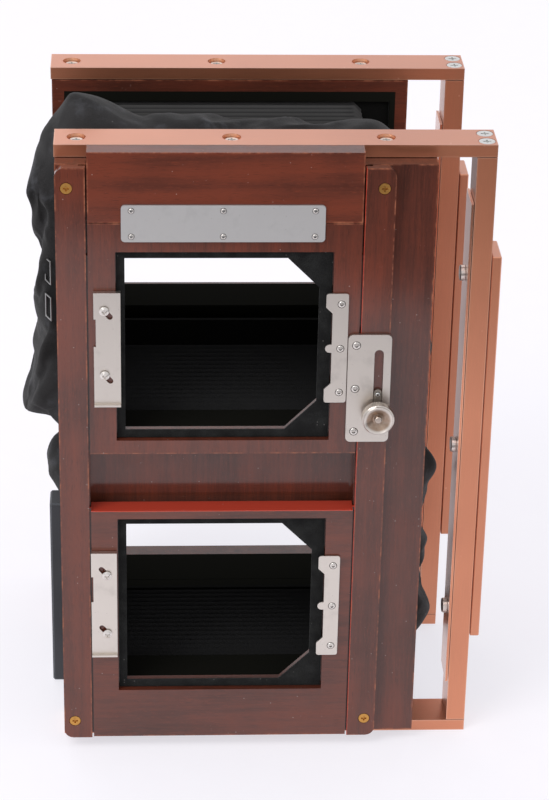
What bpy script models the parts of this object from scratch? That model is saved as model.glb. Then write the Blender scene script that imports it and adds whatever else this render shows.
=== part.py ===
"""Stereo view camera without its rail, standing on end.

Two bronze anodised C-shaped standards carry wooden frames.  The front frame holds two lens panels
between cleats: the upper panel slides, the lower one is fixed.  A pleated bellows and a soft bag
join each lens panel's opening to the film back.  Metres, +Z up, the lens side faces -Y.
The origin is the middle of the front standard's bottom arm, on its underside.
"""
import math

import bmesh
import bpy
from mathutils import Vector

for old in list(bpy.data.objects):
    bpy.data.objects.remove(old, do_unlink=True)

MM = 0.001

# ---- clearances ---------------------------------------------------------------------------------
FIT = 0.3 * MM                   # between pieces that touch
SHANK_GAP = 0.25 * MM            # round a screw's shank, on the radius
RUNNING = 0.1 * MM               # round the clamp stud, on the radius
SLIDE_GAP = 0.8 * MM             # each side of the lens panels
PAST = 2.0 * MM                  # a cutter runs this far past what it cuts
MERGE = 1e-6                     # points closer than this are one point
SHARP_EDGE = math.radians(35)    # a steeper edge stays sharp on a round piece
BEVEL_EDGE = math.radians(60)    # a steeper edge is bevelled

# ---- metal standards ----------------------------------------------------------------------------
ARM_THICKNESS = 6.0 * MM
STANDARD_DEPTH = 20.0 * MM
BAR_WIDTH = 9.4 * MM
BAR_TO_FRAME = 18.6 * MM         # clear gap between the wooden frame and the base bar
STANDARD_SPACING = 104.1 * MM    # front face to front face
REAR_OFFSET = -4.4 * MM          # the rear standard stands this much to the side
INNER_PLATE_THICKNESS = 1.3 * MM
INNER_PLATE_END = 29.6 * MM      # bare bar at each end of the inner plate
FOOT_PLATE_THICKNESS = 4.6 * MM
FOOT_PLATE_END = 56.4 * MM       # bare bar at each end of the foot plate
FOOT_PLATE_BEVEL = 0.5 * MM
BOLT_PITCH = 92.1 * MM

# ---- wooden front frame -------------------------------------------------------------------------
FRAME_SIDE_INSET = 0.5 * MM
FRAME_STEP = 8.3 * MM            # the frame stands this proud of the standard
FRAME_RIGHT_MARGIN = 19.7 * MM   # frame left bare beside the right cleat
PANEL_FLOOR = 4.8 * MM           # depth of the channel that the panels run in
MIDDLE_FLOOR = 9.0 * MM          # depth of the channel between the two windows
WINDOW_SIDE = 8.5 * MM           # channel left bare each side of a window
WINDOW_OVER_SEAT = 0.5 * MM      # the frame's window past the lens seat, above and below

# ---- cleats and lens panels ---------------------------------------------------------------------
CLEAT_WIDTH = 14.0 * MM
CLEAT_THICKNESS = 4.8 * MM
CLEAT_CORNER = 4.6 * MM
REBATE_WIDTH = 3.1 * MM
REBATE_DEPTH = 1.6 * MM
PANEL_WIDTH = 127.2 * MM
PANEL_THICKNESS = 9.5 * MM
PANEL_RISE = 1.4 * MM            # the upper panel stands this far above the standard
PANEL_STEP = 0.6 * MM            # the lower panel stops this far above the frame's end
TONGUE_THICKNESS = 1.2 * MM
TONGUE_REACH = 2.6 * MM
TONGUE_STOP = 18.0 * MM          # the tongues stop this far below the upper panel's top rail
PANEL_GAP = 31.3 * MM            # between the two lens panels
TOP_RAIL = 34.6 * MM
NAME_RAIL = 14.7 * MM
UPPER_FOOT_RAIL = 7.2 * MM
LOWER_HEAD_RAIL = 4.5 * MM
LOWER_FOOT_RAIL = 27.5 * MM

# ---- lens seats, for four inch square boards ----------------------------------------------------
SEAT_WIDTH = 101.6 * MM
SEAT_HEIGHT = 98.2 * MM
SEAT_DEPTH = 3.0 * MM
SEAT_INSET = 12.7 * MM           # panel's left side to the seat
VELVET_THICKNESS = 0.8 * MM
LIP_THICKNESS = 3.0 * MM
OPENING_MARGIN = 4.0 * MM
OPENING_MARGIN_RIGHT = 6.0 * MM
OPENING_CHAMFER = 15.0 * MM

# ---- name plate, latches and catches ------------------------------------------------------------
NAME_WIDTH = 94.2 * MM
NAME_HEIGHT = 18.3 * MM
NAME_THICKNESS = 0.9 * MM
NAME_CORNER = 1.8 * MM
NAME_OFFSET = -1.0 * MM          # the plate's middle beside the panel's middle
LATCH_WIDTH = 12.6 * MM
LATCH_LENGTH = 59.3 * MM
LATCH_THICKNESS = 1.0 * MM
LATCH_LIP = 1.7 * MM
LATCH_OVERLAP = 2.3 * MM         # a locked latch covers this much of the lens board
LATCH_NOTCH_LENGTH = 14.2 * MM
LATCH_NOTCH_DEPTH = 1.0 * MM
LATCH_ANGLE = math.radians(50.0)
LATCH_TRAVEL = 4.2 * MM
LOWER_LATCH_DROP = 1.3 * MM      # the lower latch is mounted this much lower on its panel
LATCH_SCREW_PITCH = 33.3 * MM
LATCH_SCREW_SHANK = 1.1 * MM
LATCH_SCREW_HEAD = 2.3 * MM
LATCH_SCREW_RIM = 0.6 * MM
LATCH_SCREW_DOME = 1.3 * MM
LATCH_SCREW_BITE = 4.0 * MM      # length of shank in the wood
LATCH_SCREW_INSET = 5.0 * MM
LATCH_SCREW_DROP = 9.8 * MM
CATCH_WIDTH = 10.5 * MM
CATCH_LENGTH = 56.8 * MM
CATCH_THICKNESS = 0.9 * MM
CATCH_OVERLAP = 3.1 * MM
CATCH_WAIST_LENGTH = 36.4 * MM
CATCH_NUB = 2.1 * MM
CATCH_CORNER = 1.2 * MM

# ---- shift lock ---------------------------------------------------------------------------------
LOCK_WIDTH = 20.6 * MM
LOCK_HEIGHT = 56.6 * MM
LOCK_THICKNESS = 1.5 * MM
LOCK_CORNER = 2.4 * MM
LOCK_ON_PANEL = 5.1 * MM         # the lock plate's left side to the panel's right side
LOCK_GAP = 0.4 * MM              # between the upper catch and the lock plate
LOCK_DROP = 41.7 * MM            # seat's top edge to the lock plate's top edge
SLOT_WIDTH = 4.4 * MM
SLOT_END = 7.8 * MM              # metal left above and below the slot
SLOT_INSET = 12.6 * MM
BLOCK_LENGTH = 19.7 * MM
BLOCK_RECESS = 0.2 * MM          # the block's face below the lock plate's face
STUD_UP = 7.5 * MM               # block's lower end to the stud
STUD_RADIUS = 1.5 * MM
STUD_ROOT = 0.2 * MM             # the stud starts this far inside its block
WASHER_RADIUS = 4.5 * MM
WASHER_THICKNESS = 0.8 * MM
KNOB_RADIUS = 7.75 * MM
KNOB_HEIGHT = 7.8 * MM
KNOB_COLLAR_RADIUS = 5.0 * MM
KNOB_COLLAR_HEIGHT = 1.7 * MM
KNOB_DISH_RADIUS = 5.7 * MM
KNOB_DISH_DEPTH = 1.6 * MM
KNOB_CHAMFER = 0.5 * MM
KNOB_LIP = 0.6 * MM              # slope between the knob's face and its dish
KNOB_BOSS_RADIUS = 1.9 * MM
KNOB_BOSS_HEIGHT = 1.2 * MM
KNOB_BORE_DEPTH = 5.2 * MM

# ---- rear frame, bellows board and film back ----------------------------------------------------
REAR_BAR_SIDE = 8.7 * MM
REAR_BAR_END = 11.2 * MM
BOARD_SET_BACK = 2.0 * MM
BOARD_THICKNESS = 2.5 * MM
BOARD_RIM = 5.5 * MM
BACK_DEPTH = 37.0 * MM
BACK_LOWERED = 9.0 * MM          # the film back's ends below and above the frame's ends
BACK_END_BAR = 9.0 * MM
SEPTUM_HEIGHT = 45.4 * MM
SEPTUM_SHORT = 7.5 * MM          # the septum stops this far before the film plane

# ---- bellows, bags and side block ---------------------------------------------------------------
PLEATS = 18
PLEAT_DEPTH = 5.0 * MM
BELLOWS_WALL = 1.2 * MM
BELLOWS_MIDDLE_GAP = 24.0 * MM   # between the two bellows
BELLOWS_SIDE_FRONT = 13.5 * MM
BELLOWS_RIGHT_FRONT = 31.0 * MM
BELLOWS_END_FRONT = 18.0 * MM
BELLOWS_SIDE_REAR = 2.0 * MM
BELLOWS_RIGHT_REAR = 14.0 * MM
BELLOWS_END_REAR = 0.6 * MM
BAG_CLEAR = 1.6 * MM
BAG_WALL = 2.0 * MM
BAG_GAP = 2.0 * MM
BAG_LENGTH = 60.0 * MM
BAG_BULGE_LEFT = 22.0 * MM
BAG_BULGE_RIGHT = 34.0 * MM
BAG_BULGE_END = 16.0 * MM
BAG_LOW_SHARE = 1 / 3            # how much of that the upper bag sags at its lower end
BAG_LOWER_SHARE = 0.8            # how far the lower bag swells, beside the upper one
BAG_LOWER_SAG = 1.0 * MM
BAG_OVER_BLOCK = 12.0 * MM       # the lower bag swells fully this far above the side block
BAG_CORNER = 3.0 * MM
BAG_STATIONS = 8
BLOCK_OUT = 7.2 * MM
BLOCK_WIDTH = 9.5 * MM
BLOCK_DEPTH = 15.5 * MM
BLOCK_HEIGHT = 106.5 * MM
BLOCK_BACK = 29.8 * MM           # front standard's back to the block's front
BLOCK_BEVEL = 1.0 * MM

# ---- screws -------------------------------------------------------------------------------------
CORNER_SHANK = 2.0 * MM
CORNER_HEAD = 3.8 * MM
CORNER_LENGTH = 15.0 * MM
CORNER_PITCH = 9.8 * MM
FRAME_SHANK = 1.7 * MM
FRAME_HEAD = 3.5 * MM
FRAME_HEAD_HEIGHT = 1.8 * MM
FRAME_SCREW_LENGTH = 14.0 * MM
FRAME_HEAD_CHAMFER = 0.5 * MM
COUNTERBORE_RADIUS = 4.45 * MM
COUNTERBORE_DEPTH = 3.4 * MM
FRAME_SCREW_FIRST = 10.3 * MM
FRAME_SCREW_PITCH = 71.8 * MM
BRASS_SHANK = 1.5 * MM
BRASS_HEAD = 2.7 * MM
BRASS_LENGTH = 10.0 * MM
BRASS_FROM_SIDE = 5.4 * MM
BRASS_FROM_END = 10.0 * MM
BOLT_SHANK = 2.4 * MM
BOLT_HEAD = 3.8 * MM
BOLT_HEAD_HEIGHT = 2.3 * MM
BOLT_HEAD_CHAMFER = 0.4 * MM
BOLT_IN_FOOT = 2.6 * MM
FLAT_HEAD_RIM = 0.2 * MM         # the straight rim of a flat head
FLAT_HEAD_SUNK = 0.05 * MM       # a flat head sits this far below the face
RECESS_WIDTH = 0.8 * MM
RECESS_DEPTH = 0.9 * MM
RECESS_SHARE = 0.5               # a recess reaches this share of the head's radius
ROUND = 20                       # sides of a small round piece

# ---- positions that follow from the sizes -------------------------------------------------------
frame_left = FRAME_SIDE_INSET
cleat_left_end = frame_left + CLEAT_WIDTH
panel_left = cleat_left_end + SLIDE_GAP
panel_right = panel_left + PANEL_WIDTH
cleat_right_start = panel_right + SLIDE_GAP
cleat_right_end = cleat_right_start + CLEAT_WIDTH
frame_right = cleat_right_end + FRAME_RIGHT_MARGIN
bar_left = frame_right + BAR_TO_FRAME
arm_length = bar_left + BAR_WIDTH

frame_bottom = ARM_THICKNESS + FIT
lower_bottom = frame_bottom + PANEL_STEP
lower_seat = lower_bottom + LOWER_FOOT_RAIL
lower_top = lower_seat + SEAT_HEIGHT + LOWER_HEAD_RAIL
upper_bottom = lower_top + PANEL_GAP
upper_seat = upper_bottom + UPPER_FOOT_RAIL
rail_bottom = upper_seat + SEAT_HEIGHT + NAME_RAIL
panel_top = rail_bottom + TOP_RAIL
height = panel_top - PANEL_RISE
frame_top = height - ARM_THICKNESS - FIT

frame_front = -FRAME_STEP
cleat_back = frame_front - FIT
face = cleat_back - CLEAT_THICKNESS           # the front plane of the cleats and panels
panel_back = face + PANEL_THICKNESS
channel_floor = frame_front + PANEL_FLOOR
middle_floor = frame_front + MIDDLE_FLOOR
front_back = STANDARD_DEPTH
plate_back = face - FIT                       # the back of every plate screwed to the panels

seat_left = panel_left + SEAT_INSET
seat_right = seat_left + SEAT_WIDTH
latch_way = Vector((-math.cos(LATCH_ANGLE), 0.0, math.sin(LATCH_ANGLE)))

origin_x = arm_length / 2
origin_y = STANDARD_DEPTH / 2


def here(x, y, z):
    """A point measured from the standard's left end, front face and underside, as a world point."""
    return Vector((x - origin_x, y - origin_y, z))


# ---- materials ----------------------------------------------------------------------------------
def material(name, colour, roughness, metallic=0.0):
    made = bpy.data.materials.new(name)
    made.use_nodes = True
    shader = made.node_tree.nodes["Principled BSDF"]
    shader.inputs["Base Color"].default_value = (*colour, 1.0)
    shader.inputs["Roughness"].default_value = roughness
    shader.inputs["Metallic"].default_value = metallic
    made.diffuse_color = (*colour, 1.0)
    return made


bronze = material("bronze_anodised", (0.50, 0.22, 0.13), 0.35, 0.8)
mahogany = material("mahogany", (0.16, 0.055, 0.035), 0.35)
velvet = material("velvet", (0.010, 0.010, 0.010), 0.95)
nickel = material("nickel", (0.72, 0.69, 0.64), 0.3, 1.0)
steel = material("steel", (0.70, 0.70, 0.70), 0.3, 1.0)
satin_plate = material("satin_plate", (0.55, 0.55, 0.55), 0.45, 0.9)
brass = material("brass", (0.70, 0.42, 0.12), 0.3, 1.0)
bellows_black = material("bellows_black", (0.012, 0.012, 0.012), 0.6)
suede_black = material("suede_black", (0.030, 0.032, 0.034), 0.9)
matt_black = material("matt_black", (0.028, 0.030, 0.036), 0.6)


# ---- helpers ------------------------------------------------------------------------------------
def empty(name, at, parent=None):
    made = bpy.data.objects.new(name, None)
    bpy.context.collection.objects.link(made)
    made.location = at if parent is None else at - parent.matrix_world.translation
    made.parent = parent
    bpy.context.view_layer.update()
    return made


def finish_mesh(name, mesh_data, centre, surface, parent):
    """Makes an object of a bmesh whose points are world points, with its origin at centre."""
    bmesh.ops.translate(mesh_data, verts=mesh_data.verts, vec=-centre)
    bmesh.ops.recalc_face_normals(mesh_data, faces=mesh_data.faces)
    mesh = bpy.data.meshes.new(name)
    mesh_data.to_mesh(mesh)
    mesh_data.free()
    made = bpy.data.objects.new(name, mesh)
    bpy.context.collection.objects.link(made)
    made.parent = parent
    made.location = centre - (parent.matrix_world.translation if parent else Vector())
    if surface:
        mesh.materials.append(surface)
    return made


def box(name, low, high, surface, parent):
    mesh_data = bmesh.new()
    bmesh.ops.create_cube(mesh_data, size=1.0)
    bmesh.ops.scale(mesh_data, vec=high - low, verts=mesh_data.verts)
    bmesh.ops.translate(mesh_data, vec=(low + high) / 2, verts=mesh_data.verts)
    return finish_mesh(name, mesh_data, (low + high) / 2, surface, parent)


def prism(name, outline, along, surface, parent):
    """Extrudes a closed outline of world points by the vector along."""
    mesh_data = bmesh.new()
    face_made = mesh_data.faces.new([mesh_data.verts.new(point) for point in outline])
    grown = bmesh.ops.extrude_face_region(mesh_data, geom=[face_made])
    moved = [item for item in grown["geom"] if isinstance(item, bmesh.types.BMVert)]
    bmesh.ops.translate(mesh_data, vec=along, verts=moved)
    centre = sum((Vector(point) for point in outline), Vector()) / len(outline) + along / 2
    return finish_mesh(name, mesh_data, centre, surface, parent)


def turned(name, profile, at, direction, surface, parent, sides=ROUND):
    """Turns a profile of (radius, height) points round an axis that starts at at."""
    mesh_data = bmesh.new()
    points = [mesh_data.verts.new((radius, 0.0, rise)) for radius, rise in profile]
    edges = [mesh_data.edges.new(pair) for pair in zip(points, points[1:])]
    bmesh.ops.spin(mesh_data, geom=points + edges, axis=(0, 0, 1), cent=(0, 0, 0), steps=sides,
                   angle=math.tau, use_merge=True)
    bmesh.ops.remove_doubles(mesh_data, verts=mesh_data.verts, dist=MERGE)
    turn = Vector((0, 0, 1)).rotation_difference(Vector(direction).normalized())
    bmesh.ops.rotate(mesh_data, verts=mesh_data.verts, cent=(0, 0, 0), matrix=turn.to_matrix())
    bmesh.ops.translate(mesh_data, vec=at, verts=mesh_data.verts)
    made = finish_mesh(name, mesh_data, at.copy(), surface, parent)
    made.data.shade_smooth()
    made.data.set_sharp_from_angle(angle=SHARP_EDGE)
    return made


def arc(x, z, radius, start, end, steps=5):
    """Points of an arc in the XZ plane, angles in degrees from +X towards +Z."""
    turns = [math.radians(start + (end - start) * step / steps) for step in range(steps + 1)]
    return [(x + radius * math.cos(turn), z + radius * math.sin(turn)) for turn in turns]


def rounded(left, right, bottom, top, radius):
    corners = [(right, bottom, -90, 0, -1, 1), (right, top, 0, 90, -1, -1),
               (left, top, 90, 180, 1, -1), (left, bottom, 180, 270, 1, 1)]
    points = []
    for x, z, start, end, inward_x, inward_z in corners:
        points += arc(x + inward_x * radius, z + inward_z * radius, radius, start, end)
    return points


def sheet(name, outline, back, thickness, surface, parent):
    """A flat plate in the XZ plane: its back at y = back, its face towards -Y."""
    return prism(name, [here(x, back, z) for x, z in outline], Vector((0, -thickness, 0)),
                 surface, parent)


def boolean(target, tool, operation):
    modifier = target.modifiers.new(tool.name, "BOOLEAN")
    modifier.operation = operation
    modifier.solver = "EXACT"
    modifier.object = tool
    tool.hide_render = True
    tool.display_type = "WIRE"


def cut(target, tool):
    boolean(target, tool, "DIFFERENCE")


def join(target, tool):
    boolean(target, tool, "UNION")


def hole(target, name, at, direction, profile, parent, sides=ROUND):
    cut(target, turned(name, profile, at, direction, None, parent, sides))


def soften(target, width):
    bevel = target.modifiers.new("soft_edges", "BEVEL")
    bevel.width = width
    bevel.segments = 1
    bevel.limit_method = "ANGLE"
    bevel.angle_limit = BEVEL_EDGE


def cross_recess(screw, tip, direction, head, parent):
    """Cuts a cross into a screw's head: tip is on the head's face, direction points out of it."""
    out = Vector(direction).normalized()
    side = Vector((1, 0, 0)) if abs(out.x) < 0.5 else Vector((0, 1, 0))
    other = out.cross(side)
    for number, (long_way, short_way) in enumerate(((side, other), (other, side))):
        reach = long_way * head * RECESS_SHARE
        half = short_way * RECESS_WIDTH / 2
        base = tip - out * RECESS_DEPTH
        outline = [base - reach - half, base + reach - half, base + reach + half, base - reach + half]
        cut(screw, prism(f"{screw.name}_recess_{number}", outline, out * RECESS_DEPTH * 2, None, parent))


def flat_head_screw(name, tip, direction, head, shank, length, surface, parent):
    """A countersunk screw whose face is at tip and whose shank runs against direction."""
    cone = head - shank
    profile = [(0, 0), (head, 0), (head, -FLAT_HEAD_RIM), (shank, -FLAT_HEAD_RIM - cone),
               (shank, -length), (0, -length)]
    made = turned(name, profile, tip, direction, surface, parent)
    cross_recess(made, tip, direction, head, parent)
    return made


def countersink(target, name, tip, direction, head, shank, length, parent):
    """The hole that a flat head screw sits in, a fit wider all round and open at its face."""
    cone = head - shank
    wide = head + FIT
    narrow = shank + SHANK_GAP
    profile = [(0, PAST), (wide, PAST), (wide, -FLAT_HEAD_RIM), (narrow, -FLAT_HEAD_RIM - cone),
               (narrow, -length - FIT), (0, -length - FIT)]
    hole(target, name, tip, direction, profile, parent)


# ---- bodies -------------------------------------------------------------------------------------
rear = empty("rear_standard_body", Vector((0, 0, 0)))
front = empty("focus_slide", here(origin_x, 0, 0))
upper_body = empty("panel_shift_slide", here(panel_left + PANEL_WIDTH / 2, face, upper_bottom), front)


# ---- metal standards ----------------------------------------------------------------------------
def corner_points(side_x, front_y):
    middle = front_y + STANDARD_DEPTH / 2
    across = side_x + bar_left + BAR_WIDTH / 2
    return [(across, middle - CORNER_PITCH / 2), (across, middle + CORNER_PITCH / 2)]


def frame_screw_points(side_x, front_y):
    return [(side_x + FRAME_SCREW_FIRST + FRAME_SCREW_PITCH * number, front_y + STANDARD_DEPTH / 2)
            for number in range(3)]


def arm(prefix, end, side_x, front_y, parent):
    """An arm of a standard; end is 1 for the top arm and -1 for the bottom one."""
    low_z = height - ARM_THICKNESS if end > 0 else 0.0
    outer_z = height if end > 0 else 0.0
    word = "top" if end > 0 else "bottom"
    made = box(f"{prefix}_{word}_arm", here(side_x, front_y, low_z),
               here(side_x + arm_length, front_y + STANDARD_DEPTH, low_z + ARM_THICKNESS), bronze, parent)
    out = Vector((0, 0, end))
    for number, (x, y) in enumerate(corner_points(side_x, front_y)):
        countersink(made, f"{prefix}_{word}_corner_hole_{number}", here(x, y, outer_z), out,
                    CORNER_HEAD, CORNER_SHANK, CORNER_LENGTH, parent)
    clear = FRAME_SHANK + SHANK_GAP
    profile = [(0, PAST), (COUNTERBORE_RADIUS, PAST), (COUNTERBORE_RADIUS, -COUNTERBORE_DEPTH),
               (clear, -COUNTERBORE_DEPTH), (clear, -ARM_THICKNESS - PAST), (0, -ARM_THICKNESS - PAST)]
    for number, (x, y) in enumerate(frame_screw_points(side_x, front_y)):
        hole(made, f"{prefix}_{word}_counterbore_{number}", here(x, y, outer_z), out, profile, parent)
    return made


def standard(prefix, side_x, front_y, parent):
    """The C of one standard: two arms, the base bar, its inner plate and its foot plate."""
    arm(prefix, 1, side_x, front_y, parent)
    arm(prefix, -1, side_x, front_y, parent)
    back_y = front_y + STANDARD_DEPTH
    bar_x = side_x + bar_left
    bar = box(f"{prefix}_base_bar", here(bar_x, front_y, ARM_THICKNESS + FIT),
              here(bar_x + BAR_WIDTH, back_y, height - ARM_THICKNESS - FIT), bronze, parent)
    tapped = CORNER_SHANK + SHANK_GAP
    reach = CORNER_LENGTH + FIT
    for end, outer_z in ((1, height), (-1, 0.0)):
        for number, (x, y) in enumerate(corner_points(side_x, front_y)):
            hole(bar, f"{prefix}_bar_tapped_{end}_{number}", here(x, y, outer_z), (0, 0, end),
                 [(0, 0), (tapped, 0), (tapped, -reach), (0, -reach)], parent)
    inner = box(f"{prefix}_inner_plate",
                here(bar_x - FIT - INNER_PLATE_THICKNESS, front_y, INNER_PLATE_END),
                here(bar_x - FIT, back_y, height - INNER_PLATE_END), bronze, parent)
    foot_x = bar_x + BAR_WIDTH + FIT
    foot = box(f"{prefix}_foot_plate", here(foot_x, front_y, FOOT_PLATE_END),
               here(foot_x + FOOT_PLATE_THICKNESS, back_y, height - FOOT_PLATE_END), bronze, parent)
    soften(foot, FOOT_PLATE_BEVEL)
    head_x = bar_x - FIT - INNER_PLATE_THICKNESS - FIT
    shank_end = foot_x + BOLT_IN_FOOT
    clear = BOLT_SHANK + SHANK_GAP
    through = shank_end + FIT - head_x
    for number in range(3):
        z = height / 2 + (1 - number) * BOLT_PITCH
        start = here(head_x, front_y + STANDARD_DEPTH / 2, z)
        for target in (inner, bar, foot):
            hole(target, f"{target.name}_bolt_hole_{number}", start, (1, 0, 0),
                 [(0, -PAST / 2), (clear, -PAST / 2), (clear, through), (0, through)], parent)
        if parent is front:
            profile = [(0, -BOLT_HEAD_HEIGHT), (BOLT_HEAD - BOLT_HEAD_CHAMFER, -BOLT_HEAD_HEIGHT),
                       (BOLT_HEAD, -BOLT_HEAD_HEIGHT + BOLT_HEAD_CHAMFER), (BOLT_HEAD, 0),
                       (BOLT_SHANK, 0), (BOLT_SHANK, shank_end - head_x), (0, shank_end - head_x)]
            turned(f"base_bolt_{number + 1}", profile, start, (1, 0, 0), nickel, parent)
    for number, (x, y) in enumerate(corner_points(side_x, front_y)):
        flat_head_screw(f"{prefix}_corner_screw_{number + 1}", here(x, y, height - FLAT_HEAD_SUNK),
                        (0, 0, 1), CORNER_HEAD, CORNER_SHANK, CORNER_LENGTH, steel, parent)
    for number, (x, y) in enumerate(frame_screw_points(side_x, front_y)):
        seat = here(x, y, height - COUNTERBORE_DEPTH + FIT)
        end = -FRAME_SCREW_LENGTH
        profile = [(0, FRAME_HEAD_HEIGHT), (FRAME_HEAD - FRAME_HEAD_CHAMFER, FRAME_HEAD_HEIGHT),
                   (FRAME_HEAD, FRAME_HEAD_HEIGHT - FRAME_HEAD_CHAMFER), (FRAME_HEAD, 0),
                   (FRAME_SHANK, 0), (FRAME_SHANK, end), (0, end)]
        screw = turned(f"{prefix}_frame_screw_{number + 1}", profile, seat, (0, 0, 1), steel, parent)
        cross_recess(screw, seat + Vector((0, 0, FRAME_HEAD_HEIGHT)), (0, 0, 1), FRAME_HEAD, parent)


def frame_screw_holes(target, prefix, side_x, front_y, parent):
    """Pilot holes for the screws that hold a wooden frame between the arms."""
    clear = FRAME_SHANK + SHANK_GAP
    reach = FRAME_SCREW_LENGTH + COUNTERBORE_DEPTH
    for number, (x, y) in enumerate(frame_screw_points(side_x, front_y)):
        for end, outer_z in ((1, height), (-1, 0.0)):
            hole(target, f"{prefix}_pilot_{end}_{number}", here(x, y, outer_z), (0, 0, end),
                 [(0, 0), (clear, 0), (clear, -reach), (0, -reach)], parent)


standard("front", 0.0, 0.0, front)
rear_x = REAR_OFFSET
rear_y = STANDARD_SPACING
standard("rear", rear_x, rear_y, rear)


# ---- front frame --------------------------------------------------------------------------------
front_frame = box("front_frame", here(frame_left, frame_front, frame_bottom),
                  here(frame_right, front_back, frame_top), mahogany, front)
channel_left = panel_left - SLIDE_GAP / 2
channel_right = panel_right + SLIDE_GAP / 2
cut(front_frame, box("panel_channel", here(channel_left, frame_front - PAST, frame_bottom - PAST),
                     here(channel_right, channel_floor, frame_top + PAST), None, front))
middle_low = lower_seat + SEAT_HEIGHT + WINDOW_OVER_SEAT
middle_high = upper_seat - WINDOW_OVER_SEAT
cut(front_frame, box("middle_channel", here(channel_left, channel_floor - PAST, middle_low - PAST),
                     here(channel_right, middle_floor, middle_high + PAST), None, front))
for word, seat_bottom in (("lower", lower_seat), ("upper", upper_seat)):
    cut(front_frame, box(f"{word}_frame_window",
                         here(channel_left + WINDOW_SIDE, frame_front - PAST, seat_bottom - WINDOW_OVER_SEAT),
                         here(channel_right - WINDOW_SIDE, front_back + PAST,
                              seat_bottom + SEAT_HEIGHT + WINDOW_OVER_SEAT), None, front))
frame_screw_holes(front_frame, "front", 0.0, 0.0, front)


# ---- cleats -------------------------------------------------------------------------------------
def cleat(name, left, outer_side):
    """A cleat; outer_side is -1 when its rounded corners are on the left, 1 on the right."""
    right = left + CLEAT_WIDTH
    outer = left if outer_side < 0 else right
    inner = right if outer_side < 0 else left
    bend = outer - outer_side * CLEAT_CORNER
    if outer_side < 0:
        outline = arc(bend, frame_top - CLEAT_CORNER, CLEAT_CORNER, 90, 180)
        outline += arc(bend, frame_bottom + CLEAT_CORNER, CLEAT_CORNER, 180, 270)
    else:
        outline = arc(bend, frame_bottom + CLEAT_CORNER, CLEAT_CORNER, -90, 0)
        outline += arc(bend, frame_top - CLEAT_CORNER, CLEAT_CORNER, 0, 90)
    ends = [(inner, frame_bottom), (inner, frame_top)]
    outline += ends if outer_side < 0 else ends[::-1]
    made = sheet(name, outline, cleat_back, CLEAT_THICKNESS, mahogany, front)
    rebate = sorted((inner + outer_side * REBATE_WIDTH, inner - outer_side * PAST))
    cut(made, box(f"{name}_rebate", here(rebate[0], cleat_back - REBATE_DEPTH, frame_bottom - PAST),
                  here(rebate[1], cleat_back + PAST, frame_top + PAST), None, front))
    x = outer - outer_side * BRASS_FROM_SIDE
    for number, z in enumerate((frame_bottom + BRASS_FROM_END, frame_top - BRASS_FROM_END)):
        tip = here(x, face, z)
        tool_names = (f"{name}_screw_hole_{number}", f"{name}_frame_hole_{number}")
        for target, tool in zip((made, front_frame), tool_names):
            countersink(target, tool, tip, (0, -1, 0), BRASS_HEAD, BRASS_SHANK, BRASS_LENGTH, front)
        flat_head_screw(f"{name}_screw_{number + 1}", tip + Vector((0, FLAT_HEAD_SUNK, 0)), (0, -1, 0),
                        BRASS_HEAD, BRASS_SHANK, BRASS_LENGTH, brass, front)


cleat("cleat_left", frame_left, -1)
cleat("cleat_right", cleat_right_start, 1)


# ---- lens panels --------------------------------------------------------------------------------
def opening_outline(seat_bottom, grow):
    """The lens opening, with its two right corners cut off; grow widens it all round."""
    left = seat_left + OPENING_MARGIN - grow
    right = seat_right - OPENING_MARGIN_RIGHT + grow
    bottom = seat_bottom + OPENING_MARGIN - grow
    top = seat_bottom + SEAT_HEIGHT - OPENING_MARGIN + grow
    corner = OPENING_CHAMFER
    return [(left, bottom), (right - corner, bottom), (right, bottom + corner), (right, top - corner),
            (right - corner, top), (left, top)]


def lens_panel(word, bottom, top, seat_bottom, tongue_top, parent):
    """A lens panel with its tongues, seat, lens opening and velvet."""
    tongue_back = frame_front - FIT
    tongue_front = tongue_back - TONGUE_THICKNESS
    outline = [(panel_left, face), (panel_right, face), (panel_right, panel_back), (panel_left, panel_back)]
    panel = prism(f"lens_panel_{word}", [here(x, y, bottom) for x, y in outline],
                  Vector((0, 0, top - bottom)), mahogany, parent)
    for side, inner, outer in (("left", panel_left + PAST, panel_left - TONGUE_REACH),
                               ("right", panel_right - PAST, panel_right + TONGUE_REACH)):
        low_x, high_x = sorted((inner, outer))
        join(panel, box(f"{word}_tongue_{side}", here(low_x, tongue_front, bottom),
                        here(high_x, tongue_back, tongue_top), None, parent))
    seat_floor = face + SEAT_DEPTH
    pocket_floor = seat_floor + VELVET_THICKNESS + FIT
    seat_top = seat_bottom + SEAT_HEIGHT
    cut(panel, box(f"{word}_seat_pocket", here(seat_left, face - PAST, seat_bottom),
                   here(seat_right, pocket_floor, seat_top), None, parent))
    cut(panel, sheet(f"{word}_lens_opening", opening_outline(seat_bottom, 0.0), panel_back + PAST,
                     PANEL_THICKNESS + 2 * PAST, None, parent))
    relief = OPENING_MARGIN / 2
    cut(panel, box(f"{word}_back_relief",
                   here(seat_left + relief, pocket_floor + LIP_THICKNESS, seat_bottom + relief),
                   here(seat_right - relief, panel_back + PAST, seat_top - relief), None, parent))
    lining = box(f"velvet_{word}", here(seat_left + FIT, seat_floor, seat_bottom + FIT),
                 here(seat_right - FIT, seat_floor + VELVET_THICKNESS, seat_top - FIT), velvet, parent)
    cut(lining, sheet(f"{word}_velvet_opening", opening_outline(seat_bottom, -FIT),
                      panel_back + PAST, PANEL_THICKNESS + 2 * PAST, None, parent))
    return panel


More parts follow.
